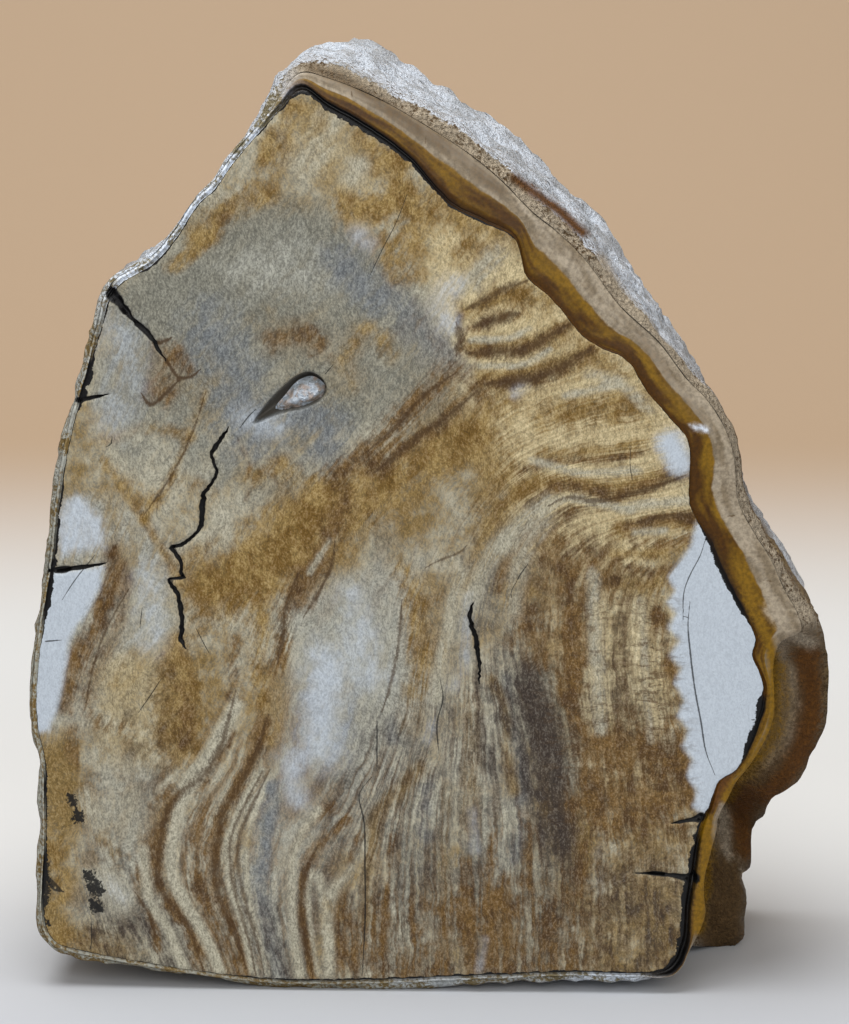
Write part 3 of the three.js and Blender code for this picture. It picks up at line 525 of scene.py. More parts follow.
# Hairlines that cross the bark side's bands, as [x, y, x, y] from end to end, and half their width.
BARK_HAIRS = [
    [352, 75, 352, 97], [430, 117, 425, 145], [408, 121, 407, 132], [489, 184, 486, 197],
    [528, 214, 526, 228], [717, 516, 751, 516], [745, 577, 780, 583], [700, 430, 727, 417],
]
BARK_HAIR_HALF = 0.8

# Parts of the texture laid out in the UV map for baking, as shares of it. The front and the back stand side by
# side, and the outside is a strip above them.
BAKE_MARGIN = 0.005
BAKE_FRONT_HEIGHT = 0.86
BAKE_BACK_START = 0.745
BAKE_BACK_WIDTH = 0.25
BAKE_STRIP_START = 0.88
BAKE_STRIP_HEIGHT = 0.115

# Looks that more than one material shares.
CRACK_EDGE = (1.25, 0.85)
COAT_ROUGHNESS = 0.12

# Sockets of a mix of two colours: its share, its colours and its result.
MIX_SHARE, MIX_UNDER, MIX_OVER, MIX_RESULT = 0, 6, 7, 2

# The stage in metres: the paper sweep, and where its colour changes over the floor, in painted shade that
# darkens it towards the front, and up the back.
STAGE_HALF_WIDTH = 3.0
SWEEP_START = 0.15
SWEEP_RADIUS = 0.5
STAGE_FRONT = -3.0
STAGE_TOP = 3.0
FLOOR_SHADE = (-0.16, 0.12)
BACKDROP_SHADE = (0.004, 0.045)

# The lights: how wide each is, where it hangs, and the point that they face.
KEY_LIGHT = (0.7, (-0.1, -0.1, 0.85))
FILL_LIGHT = (1.2, (0.1, -1.3, 0.7))
LIT_POINT = (0, 0, 0.08)


def srgb(red, green, blue):
    """A colour read off the screen, 0 to 255, in Blender's linear light."""
    shares = [value / 255 for value in (red, green, blue)]
    return tuple(s / 12.92 if s <= 0.04045 else ((s + 0.055) / 1.055) ** 2.4 for s in shares)


# Numbers over the slice: noise, curves and distances.
def lattice(i, j, k):
    """A repeatable number from 0 to 1 for each point of a lattice."""
    wave = np.sin(i * 127.1 + j * 311.7 + k * 74.7) * 43758.5453
    return wave - np.floor(wave)


def smooth_step(share):
    share = np.clip(share, 0, 1)
    return share * share * (3 - 2 * share)


def rise(value, start, end):
    """0 at start, 1 at end and smooth between; end may be the lower."""
    return smooth_step((value - start) / (end - start))


def noise(x, y, z):
    """Smooth noise from -1 to 1 with one lump about every unit, the same as the CAD source has."""
    cell = [np.floor(value) for value in (x, y, z)]
    part = [smooth_step(value - floor) for value, floor in zip((x, y, z), cell)]
    total = 0
    for i in (0, 1):
        for j in (0, 1):
            for k in (0, 1):
                share = (part[0] if i else 1 - part[0]) * (part[1] if j else 1 - part[1])
                share = share * (part[2] if k else 1 - part[2])
                total = total + share * lattice(cell[0] + i, cell[1] + j, cell[2] + k)
    return 2 * total - 1


def noise_at(points, size):
    """The noise at each point, with one lump about every so many millimetres."""
    x, y, z = (points[..., axis] / size for axis in range(3))
    return noise(x, y, z)


def smooth_curve(points, closed, steps):
    """A centripetal Catmull-Rom curve through the points, with so many steps between two of them."""
    points = np.asarray(points, float)
    if closed:
        control = np.vstack([points[-1], points, points[0], points[1]])
    else:
        control = np.vstack([2 * points[0] - points[1], points, 2 * points[-1] - points[-2]])
    t = np.linspace(0, 1, steps, endpoint=False)[:, None]
    out = []
    for p0, p1, p2, p3 in zip(control, control[1:], control[2:], control[3:]):
        d0, d1, d2 = (math.sqrt(math.dist(a, b)) for a, b in ((p0, p1), (p1, p2), (p2, p3)))
        start = ((p1 - p0) / d0 - (p2 - p0) / (d0 + d1) + (p2 - p1) / d1) * d1
        end = ((p2 - p1) / d1 - (p3 - p1) / (d1 + d2) + (p3 - p2) / d2) * d1
        c2 = 3 * (p2 - p1) - 2 * start - end
        c3 = 2 * (p1 - p2) + start + end
        out.append(p1 + t * start + t * t * c2 + t * t * t * c3)
    if not closed:
        out.append(points[-1:])
    return np.vstack(out)


def spread_evenly(points, spacing, closed=False):
    """Points at even distances along a line of points."""
    points = np.asarray(points, float)
    if closed:
        points = np.vstack([points, points[:1]])
    lengths = np.r_[0, np.cumsum(np.hypot(*np.diff(points[:, :2], axis=0).T))]
    count = max(2, int(round(lengths[-1] / spacing)) + 1)
    stops = np.linspace(0, lengths[-1], count)
    even = np.column_stack([np.interp(stops, lengths, column) for column in points.T])
    return even[:-1] if closed else even


def direction_of(points):
    """Degrees round the hub of points given as [x, z]."""
    return np.degrees(np.arctan2(points[..., 1] - HUB[1], points[..., 0] - HUB[0]))


def outline_radii(points, closed, degrees):
    """Radii from the hub of an outline, in the given directions, and 0 beyond an open outline's ends."""
    curve = smooth_curve(np.asarray(points, float) - [MIDDLE_X, 0], closed, 8)
    angles = direction_of(curve)
    radii = np.hypot(*(curve - HUB).T)
    order = np.argsort(angles)
    if closed:
        return np.interp(degrees, angles[order], radii[order], period=360)
    return np.interp(degrees, angles[order], radii[order], left=0, right=0)


def table_at(table, degrees):
    """The columns of a table whose first column is a direction."""
    table = np.asarray(table, float)
    return [np.interp(degrees, table[:, 0], column) for column in table[:, 1:].T]


def line_distance(points, line):
    """Each point's distance from a line of points, and how far along it that is, in whole and part steps."""
    best = np.full(len(points), np.inf)
    along = np.zeros(len(points))
    for step, (a, b) in enumerate(zip(line[:-1, :2], line[1:, :2])):
        span = b - a
        share = np.clip(((points - a) @ span) / max(span @ span, 1e-12), 0, 1)
        distance = np.hypot(*(points - a - share[:, None] * span).T)
        nearer = distance < best
        best[nearer] = distance[nearer]
        along[nearer] = step + share[nearer]
    return best, along


def near_line(points, line, reach):
    """Which points may lie within reach of a line."""
    low = line[:, :2].min(0) - reach
    high = line[:, :2].max(0) + reach
    return np.flatnonzero(((points >= low) & (points <= high)).all(1))


def depth_inside(points, outline):
    """Distance inside a closed outline, negative outside it."""
    loop = np.vstack([outline, outline[:1]])
    inside = np.zeros(len(points), bool)
    for (x0, z0), (x1, z1) in zip(loop[:-1], loop[1:]):
        if z0 == z1:
            continue
        crosses = (points[:, 1] > z0) != (points[:, 1] > z1)
        inside ^= crosses & (points[:, 0] < x0 + (points[:, 1] - z0) / (z1 - z0) * (x1 - x0))
    distance = line_distance(points, loop)[0]
    return np.where(inside, distance, -distance)


def thin_plate(places, values, targets):
    """A smooth surface through values at scattered places, read at the targets."""
    def bend(a, b):
        square = ((a[:, None, :] - b[None, :, :]) ** 2).sum(2)
        return square * np.log(square + 1e-9)

    count = len(places)
    flat = np.column_stack([np.ones(count), places])
    system = np.zeros((count + 3, count + 3))
    system[:count, :count] = bend(places, places)
    system[:count, count:] = flat
    system[count:, :count] = flat.T
    weights = np.linalg.solve(system, np.r_[values, 0, 0, 0])
    out = [bend(part, places) @ weights[:count] for part in np.array_split(targets, 40)]
    return np.concatenate(out) + np.column_stack([np.ones(len(targets)), targets]) @ weights[count:]


# The camera's view of the slice.
def camera_axes():
    """The eye, and the camera's right, up and forward directions."""
    azimuth, elevation = math.radians(CAMERA_AZIMUTH), math.radians(CAMERA_ELEVATION)
    back = np.array([
        math.sin(azimuth) * math.cos(elevation),
        -math.cos(azimuth) * math.cos(elevation),
        math.sin(elevation),
    ])
    right = np.array([math.cos(azimuth), math.sin(azimuth), 0])
    return AIM + back * CAMERA_DISTANCE, right, np.cross(right, -back), -back


def on_face(pixels):
    """Pixels of the photograph, put on the plane of the polished face as [x, z] in millimetres."""
    eye, right, up, forward = camera_axes()
    pixels = np.reshape(pixels, (-1, 2))
    across = (pixels[:, 0] - PHOTO_WIDTH / 2) / FOCAL_PIXELS
    down = (pixels[:, 1] - PHOTO_HEIGHT / 2) / FOCAL_PIXELS
    rays = forward + across[:, None] * right - down[:, None] * up
    hits = eye + rays * ((FACE_Y - eye[1]) / rays[:, 1])[:, None]
    return hits[:, [0, 2]]


def seen_on_face(points):
    """Where the camera sees each point against the plane of the face, as [x, z]."""
    eye = camera_axes()[0]
    share = (FACE_Y - eye[1]) / (points[:, 1] - eye[1])
    return eye[[0, 2]] + (points[:, [0, 2]] - eye[[0, 2]]) * share[:, None]


# The skin: rows of points from the wood's edge outwards, over the rim and round to the back.
def edge_columns(spacing):
    """Directions and radii of evenly spread points of the wood's edge, clockwise from the peak."""
    curve = smooth_curve(np.asarray(WOOD_EDGE, float) - [MIDDLE_X, 0], True, 10)
    points = spread_evenly(curve, spacing, closed=True)
    degrees = direction_of(points)
    chips = noise(degrees * 0.9, 4.5, 0.5) * CHIP_HEIGHT
    fine_chips = noise(degrees * 2.3, 8.5, 0.5) * FINE_CHIP_HEIGHT
    return degrees, np.hypot(*(points - HUB).T) + (chips + fine_chips)


def control_rows(degrees, wood):
    """The CAD source's rows in every direction, as radii and set backs."""
    crevice_width, crevice_depth = table_at(CREVICE, degrees)
    edge, foot, rim = table_at(SET_BACK, degrees)
    radii, backs = [wood], [np.zeros_like(wood)]

    def add(radius, back):
        radii.append(np.maximum(radius, radii[-1] + SMALLEST_STEP))
        backs.append(back)

    add(wood + crevice_width / 2, crevice_depth)
    add(wood + crevice_width, edge * 0.2)
    ground = np.maximum(outline_radii(GROUND_EDGE, False, degrees), radii[-1] + 2 * SMALLEST_STEP)
    add(radii[-1] + (ground - radii[-1]) * AMBER_SHARE, edge * 0.45)
    add(ground, edge)
    add(ground + SMALLEST_STEP, (edge + foot) / 2)
    add(ground + 2 * SMALLEST_STEP, foot)
    rim_radius = np.maximum(outline_radii(RIM, True, degrees), radii[-1] + 2 * SMALLEST_STEP)
    add((radii[-1] + rim_radius) / 2, foot * 0.6 + rim * 0.4)
    add(rim_radius, rim)
    return radii, backs


def skin_rows(degrees, wood):
    """Radii, set backs and row numbers of the skin, one column of each for every direction."""
    radii, backs = control_rows(degrees, wood)
    rows = []
    for number, steps in enumerate(ROW_STEPS):
        for share in np.arange(steps) / steps:
            rows.append([
                radii[number] + (radii[number + 1] - radii[number]) * share,
                backs[number] + (backs[number + 1] - backs[number]) * share,
                number + share,
            ])
    back_radius = outline_radii(BACK_EDGE, True, degrees)
    for share in np.linspace(0, 1, OUTER_ROWS):
        radius = radii[-1] + (back_radius - radii[-1]) * share ** 0.6
        back = backs[-1] + (THICKNESS - BACK_EDGE_CHAMFER - backs[-1]) * share
        rows.append([radius, back, RIM_ROW + share])
    rows.append([back_radius - BACK_EDGE_CHAMFER, np.full_like(wood, THICKNESS), BACK_ROW])
    return [np.column_stack([np.broadcast_to(row[part], wood.shape) for row in rows]) for part in range(3)]


def rough_share(numbers):
    """How much of the roughness a row takes: none on the ground face, a little on the ledge, all outside."""
    outside = np.clip(LEDGE_ROUGHNESS + 0.25 * (numbers - RIM_ROW) * OUTER_ROWS / 3.2, 0, 1)
    ledge = LEDGE_ROUGHNESS * rise(numbers, GROUND_ROW + 1, GROUND_ROW + 3)
    return np.where(numbers >= BACK_ROW, 0, np.where(numbers >= RIM_ROW, outside, ledge))


def roughness(points):
    """How far the rough outside stands out at a point: the CAD source's lumps and knobs."""
    return (
        noise_at(points, LUMP_SIZE) * LUMP_HEIGHT / 2
        + (MEAN_RIDGE - np.abs(noise_at(points, KNOB_SIZE))) * KNOB_HEIGHT
    )


def crumble(points):
    """The finer breakage over the lumps."""
    flakes = MEAN_FLAKE - np.abs(noise_at(points + 31, FLAKE_SIZE))
    grit = noise_at(points + 57, GRIT_SIZE)
    return flakes * FLAKE_HEIGHT + grit * GRIT_HEIGHT


def skin_points(degrees, wood):
    """Points [x, y, z] of the skin with its rough outside and ledge, and their row numbers."""
    radii, backs, numbers = skin_rows(degrees, wood)
    angle = np.radians(degrees)[:, None]

    def placed(reach):
        x = HUB[0] + reach * np.cos(angle)
        z = HUB[1] + reach * np.sin(angle)
        return np.stack([x, FACE_Y + backs, z], axis=2)

    share = rough_share(numbers)
    flat = placed(radii)
    lumped = radii + share * (roughness(flat + [MIDDLE_X, 0, 0]) + crumble(flat))
    points = placed(lumped)
    ledge = (numbers > GROUND_ROW + 1) & (numbers < RIM_ROW + 0.2)
    uneven = LEDGE_UNEVENNESS * (noise_at(points, 2.2) + noise_at(points, 5))
    points[..., 1] += np.where(ledge, uneven, 0)
    return points, numbers


# The polished face: close points, with real recesses along its cracks and in its hollow.
def crack_lines():
    """Each crack as close points [x, z, half width], a little ragged."""
    lines = []
    for crack in CRACKS:
        line = spread_evenly(np.asarray(crack, float) - [MIDDLE_X, 0, 0], LINE_SPACING * 0.7)
        line[:, 0] += noise(line[:, 0] * 2.3, 2.5, line[:, 1] * 2.3) * CRACK_SWAY
        line[:, 2] *= 1 + CRACK_UNEVENNESS * noise(line[:, 0] * 1.1, 6.5, line[:, 1] * 1.1)
        lines.append(line)
    return lines


def crack_depth(points, lines):
    """Depth of the cracks at points [x, z], and the distance from the nearest in half widths."""
    depth = np.zeros(len(points))
    nearest = np.full(len(points), LINE_REACH)
    for line in lines:
        picked = near_line(points, line, 4)
        distance, along = line_distance(points[picked], line)
        half = np.interp(along, np.arange(len(line)), line[:, 2])
        cut = CRACK_DEPTH * np.minimum(1, half / DEEP_CRACK_HALF) * np.clip(1 - distance / half, 0, 1)
        depth[picked] = np.maximum(depth[picked], cut)
        nearest[picked] = np.minimum(nearest[picked], distance / half)
    return depth, nearest


def hollow_outline():
    """Close points [x, z] round the edge of the hollow."""
    curve = smooth_curve(np.asarray(HOLLOW) - [MIDDLE_X, 0], True, 6)
    return spread_evenly(curve, HOLLOW_SPACING, closed=True)


def hollow_depth(inside):
    """Depth of the hollow at a distance inside its edge."""
    return table_at(HOLLOW_PROFILE, inside)[0]


def mark_lines(kind):
    """Fine lines of that kind, as close points on the face and a half width in millimetres."""
    return [
        (spread_evenly(smooth_curve(on_face(pixels), False, 6), LINE_SPACING), half * PIXEL)
        for half, *pixels in LINES[kind]
    ]


class FlatMesh:
    """Points and fixed edges of a flat region, which a triangulation joins up."""

    def __init__(self, boundary):
        self.points = [tuple(point) for point in boundary]
        count = len(self.points)
        self.edges = [(i, (i + 1) % count) for i in range(count)]
        self.degrees = direction_of(boundary)
        self.radii = np.hypot(*(boundary - HUB).T)

    def inside(self, points, margin):
        """Which points lie inside the boundary by that margin, measured out from the hub."""
        order = np.argsort(self.degrees)
        reach = np.interp(direction_of(points), self.degrees[order], self.radii[order], period=360)
        return np.hypot(*(points - HUB).T) < reach - margin

    def add_line(self, line, closed=False):
        """Fixes edges along a line, leaving out what lies at or beyond the boundary."""
        kept = self.inside(line, 0.35)
        first = len(self.points)
        places = np.cumsum(kept) - 1 + first
        self.points.extend(tuple(point) for point in line[kept])
        last = len(line) if closed else len(line) - 1
        for i in range(last):
            j = (i + 1) % len(line)
            if kept[i] and kept[j]:
                self.edges.append((int(places[i]), int(places[j])))

    def fill(self, spacing, clearance, only=None):
        """Adds a lattice of points, clear of the boundary and of the points there so far."""
        low, high = np.array(self.points).min(0), np.array(self.points).max(0)
        rows = np.arange(low[1], high[1], spacing * math.sqrt(3) / 2)
        grid = []
        for number, z in enumerate(rows):
            x = np.arange(low[0] + spacing / 2 * (number % 2), high[0], spacing)
            grid.append(np.column_stack([x, np.full(len(x), z)]))
        grid = np.vstack(grid)
        grid = grid[self.inside(grid, clearance)]
        if only is not None:
            grid = grid[only(grid)]
        tree = KDTree(len(self.points))
        for index, (x, z) in enumerate(self.points):
            tree.insert((x, z, 0), index)
        tree.balance()
        clear = [tree.find((x, z, 0))[2] > clearance for x, z in grid]
        self.points.extend(tuple(point) for point in grid[clear])

    def triangles(self):
        """The joined points as [x, z], each one's boundary place or -1, and the triangles."""
        places, _, faces, origins, _, _ = delaunay_2d_cdt(self.points, self.edges, [], 1, 1e-7)
        count = len(self.degrees)
        border = [min([o for o in origin if o < count], default=-1) for origin in origins]
        return np.array([tuple(place) for place in places]), np.array(border), faces


def face_mesh(boundary, cracks, spacing):
    """Triangles over the polished face, closer along its cracks, its fine lines and its hollow."""
    flat = FlatMesh(boundary)
    for line in cracks:
        for side in (-1, 0, 1):
            ahead = np.gradient(line[:, :2], axis=0)
            across = np.column_stack([-ahead[:, 1], ahead[:, 0]]) / np.hypot(*ahead.T)[:, None]
            flat.add_line(line[:, :2] + side * across * line[:, 2:3])
    for kind in LINES:
        for line, _ in mark_lines(kind):
            flat.add_line(line)
    hollow = hollow_outline()
    centre = hollow.mean(0)
    flat.add_line(hollow, closed=True)
    flat.add_line(centre + (hollow - centre) * 0.93, closed=True)
    flat.fill(spacing * 0.5, spacing * 0.35, lambda grid: depth_inside(grid, hollow) > -0.5)
    flat.fill(spacing, spacing * 0.55)
    return flat.triangles()


# Fields over the points, which the materials read by name.
def stain_field(seen, strokes, patches=()):
    """How strongly one colour's strokes and patches show at each seen point, from 0 to 1."""
    clear = np.ones(len(seen))
    for strength, half, *pixels in strokes:
        line = smooth_curve(on_face(pixels), False, 4)
        reach = half * PIXEL * EDGE_SPREAD
        picked = near_line(seen, line, reach)
        share = smooth_step(1 - line_distance(seen[picked], line)[0] / reach)
        clear[picked] *= 1 - strength * share
    for strength, softness, *pixels in patches:
        outline = on_face(pixels)
        soft = softness * PIXEL
        picked = near_line(seen, outline, soft)
        share = smooth_step(0.5 + depth_inside(seen[picked], outline) / (2 * soft))
        clear[picked] *= 1 - strength * share
    return 1 - clear


def outline_field(seen, outlines):
    """How far each seen point lies inside any of the outlines, from 0 to 1 over a soft edge."""
    soft = np.zeros(len(seen))
    for strength, *pixels in outlines:
        depth = depth_inside(seen, on_face(pixels))
        soft = np.maximum(soft, strength * smooth_step(0.5 + depth / (ZONE_SOFTNESS * PIXEL)))
    return soft


def nearest_line_field(seen, kind):
    """Distance from the nearest line of that kind, in its half widths there; its ends taper."""
    nearest = np.full(len(seen), LINE_REACH)
    for line, half in mark_lines(kind):
        picked = near_line(seen, line, LINE_REACH * half)
        distance, along = line_distance(seen[picked], line)
        share = along / (len(line) - 1)
        taper = 0.25 + 0.75 * smooth_step(np.minimum(share, 1 - share) * LINE_TAPER)
        nearest[picked] = np.minimum(nearest[picked], distance / (half * taper))
    return nearest


def ring_field(seen):
    """Ring numbers over the face, smooth between the rings that were followed."""
    places, numbers = [], []
    for number, *pixels in GROWTH_RINGS:
        line = spread_evenly(on_face(pixels), RING_SPACING)
        places.append(line)
        numbers += [number] * len(line)
    return thin_plate(np.vstack(places), np.array(numbers, float), seen)


def face_fields(flat, border_radius):
    """Every field that the polished face's material reads."""
    fields = {
        name: stain_field(flat, STAINS.get(name, ()), PATCHES.get(name, ()))
        for name in sorted({*STAINS, *PATCHES})
    }
    fields |= {name: outline_field(flat, outlines) for name, outlines in ZONES.items()}
    fields |= {kind + "_line": nearest_line_field(flat, kind) for kind in LINES}
    fields["ring_number"] = ring_field(flat)
    degrees = direction_of(flat)
    from_edge = border_radius(degrees) - np.hypot(*(flat - HUB).T)
    seam_width = table_at(MINERAL_SEAM, degrees)[0]
    fields["seam"] = from_edge / seam_width
    fields["seam_there"] = rise(seam_width, *SEAM_SHOWN)
    return fields


def bark_fields(points):
    """Fields of the bark side: its marks as the camera sees them, and what changes round the slice."""
    seen = seen_on_face(points)
    fields = {"bark_" + name: stain_field(seen, strokes) for name, strokes in BARK_MARKS.items()}
    fields["bark_hair"] = np.full(len(points), LINE_REACH)
    for pixels in BARK_HAIRS:
        near = line_distance(seen, on_face(pixels))[0] / (BARK_HAIR_HALF * PIXEL)
        fields["bark_hair"] = np.minimum(fields["bark_hair"], near)
    degrees = direction_of(points[:, [0, 2]])
    fields["bark_width"] = rise(degrees, *BARK_START) * rise(degrees, *BARK_END)
    chalky_behind = rise(points[:, 1], *CHALKY_BEHIND) * CHALKY_SHARE_BEHIND
    fields["chalky"] = np.maximum(table_at(CHALKY, degrees)[0], chalky_behind)
    from_foot = (degrees + 90 + 360) % 360
    fields["around"] = from_foot / 360 * ROUND_LENGTH
    return fields


class SliceMesh:
    """Collects the slice's points, faces, materials and named fields, then makes the mesh."""

    def __init__(self, sizes):
        degrees, wood = edge_columns(sizes.column_spacing / MM)
        self.skin, self.numbers = skin_points(degrees, wood)
        self.columns, self.rows = self.numbers.shape
        self.cracks = crack_lines()
        ground = self.skin[:, self.numbers[0] <= GROUND_ROW]
        cut = crack_depth(ground.reshape(-1, 3)[:, [0, 2]], self.cracks)[0]
        self.skin[:, self.numbers[0] <= GROUND_ROW, 1] += cut.reshape(ground.shape[:2])
        order = np.argsort(degrees)
        self.border_radius = lambda at: np.interp(at, degrees[order], wood[order], period=360)
        self.points = [self.skin.reshape(-1, 3)]
        self.count = self.columns * self.rows
        self.faces = []
        self.materials = []
        self.add_skin()
        self.add_front(sizes.face_spacing / MM)
        self.add_back()

    def add_skin(self):
        """Joins each column of the skin to the next with quads."""
        for column in range(self.columns):
            here = column * self.rows
            after = (column + 1) % self.columns * self.rows
            for row in range(self.rows - 1):
                self.faces.append((here + row, after + row, after + row + 1, here + row + 1))
                self.materials.append(BARK)

    def add_flat(self, flat, border, faces, row, y, turned, material):
        """Adds a flat region whose boundary points are those of one row of the skin."""
        fresh = border < 0
        index = np.where(fresh, self.count + np.cumsum(fresh) - 1, border * self.rows + row)
        self.points.append(np.column_stack([flat[fresh, 0], y[fresh], flat[fresh, 1]]))
        self.count += int(fresh.sum())
        for face in faces:
            corners = [int(index[corner]) for corner in face]
            self.faces.append(tuple(reversed(corners)) if turned else tuple(corners))
            self.materials.append(material)

    def add_front(self, spacing):
        boundary = self.skin[:, 0][:, [0, 2]]
        flat, border, faces = face_mesh(boundary, self.cracks, spacing)
        hollow = hollow_depth(depth_inside(flat, hollow_outline()))
        depth = np.maximum(crack_depth(flat, self.cracks)[0], hollow)
        self.add_flat(flat, border, faces, 0, FACE_Y + depth, False, WOOD)

    def add_back(self):
        boundary = self.skin[:, -1][:, [0, 2]]
        region = FlatMesh(boundary)
        region.fill(BACK_SPACING, BACK_SPACING * 0.5)
        flat, border, faces = region.triangles()
        self.add_flat(flat, border, faces, self.rows - 1, np.full(len(flat), -FACE_Y), True, BACK)

    def fields(self, points):
        """Every named field at every point."""
        flat = points[:, [0, 2]]
        fields = face_fields(flat, self.border_radius) | bark_fields(points)
        fields["row"] = np.zeros(len(points))
        fields["row"][:self.numbers.size] = self.numbers.reshape(-1)
        fields["crack"] = crack_depth(flat, self.cracks)[1]
        fields["hollow"] = np.clip(depth_inside(flat, hollow_outline()) + 0.3, 0, 2)
        return fields

    def place_for_bake(self, points, rows, lowest_rows, columns, materials):
        """A place on the texture for each corner: the front large, the outside as a strip, the back small."""
        low, high = (np.array(corner) / MM for corner in CAD_BOX)
        width, _, height = high - low
        x, _, z = (points - low).T
        front = BAKE_FRONT_HEIGHT / height
        u = BAKE_MARGIN + x * front
        v = BAKE_MARGIN + z * front
        at_back = materials == BACK
        back = BAKE_BACK_WIDTH / width
        u[at_back] = BAKE_BACK_START + (width - x[at_back]) * back
        v[at_back] = BAKE_MARGIN + z[at_back] * back
        outside = (materials == BARK) & (lowest_rows >= RIM_ROW)
        u[outside] = BAKE_MARGIN + (1 - 2 * BAKE_MARGIN) * columns[outside] / self.columns
        share = (rows[outside] - RIM_ROW) / (BACK_ROW - RIM_ROW)
        v[outside] = BAKE_STRIP_START + BAKE_STRIP_HEIGHT * share
        return np.column_stack([u, v])

    def bake_places(self, mesh, points):
        """Fills the UV map named OFBake, for baking."""
        corners = np.zeros(len(mesh.loops), int)
        mesh.loops.foreach_get("vertex_index", corners)
        owner = np.repeat(np.arange(len(self.faces)), [len(face) for face in self.faces])
        on_skin = corners < self.numbers.size
        column = np.where(on_skin, corners // self.rows, 0).astype(float)
        row = np.where(on_skin, self.numbers[0][corners % self.rows], 0)
        lowest = np.full(len(self.faces), float(BACK_ROW))
        np.minimum.at(lowest, owner, row)
        last_strip = (self.columns - 1) * (self.rows - 1)
        wraps = (owner >= last_strip) & (owner < last_strip + self.rows - 1)
        column[wraps & (column == 0)] = self.columns
        materials = np.array(self.materials)[owner]
        places = self.place_for_bake(points[corners], row, lowest[owner], column, materials)
        layer = mesh.uv_layers.new(name="OFBake")
        layer.data.foreach_set("uv", places.astype(np.float32).ravel())

    def make(self, name, materials):
        """The finished mesh in metres, held inside the CAD box, with its fields and its UV map."""
        built = np.vstack(self.points)
        low, high = (np.array(corner) / MM for corner in CAD_BOX)
        points = np.clip(built, low, high)
        mesh = bpy.data.meshes.new(name)
        mesh.from_pydata((points * MM).tolist(), [], self.faces)
        for material in materials:
            mesh.materials.append(material)
        mesh.polygons.foreach_set("material_index", self.materials)
        for field, values in self.fields(built).items():
            layer = mesh.attributes.new(field, "FLOAT", "POINT")
            layer.data.foreach_set("value", values.astype(np.float32))
        self.bake_places(mesh, points)
        mesh.update()
        return mesh


# Materials.
class Value:
    """What a node gives out, which can be added, subtracted and multiplied like a number."""

    def __init__(self, shading, socket):
        self.shading = shading
        self.socket = socket

    def __add__(self, other):
        return self.shading.math("ADD", self, other)

    def __sub__(self, other):
        return self.shading.math("SUBTRACT", self, other)

    def __rsub__(self, other):
        return self.shading.math("SUBTRACT", other, self)

    def __mul__(self, other):
        return self.shading.math("MULTIPLY", self, other)

    __radd__ = __add__


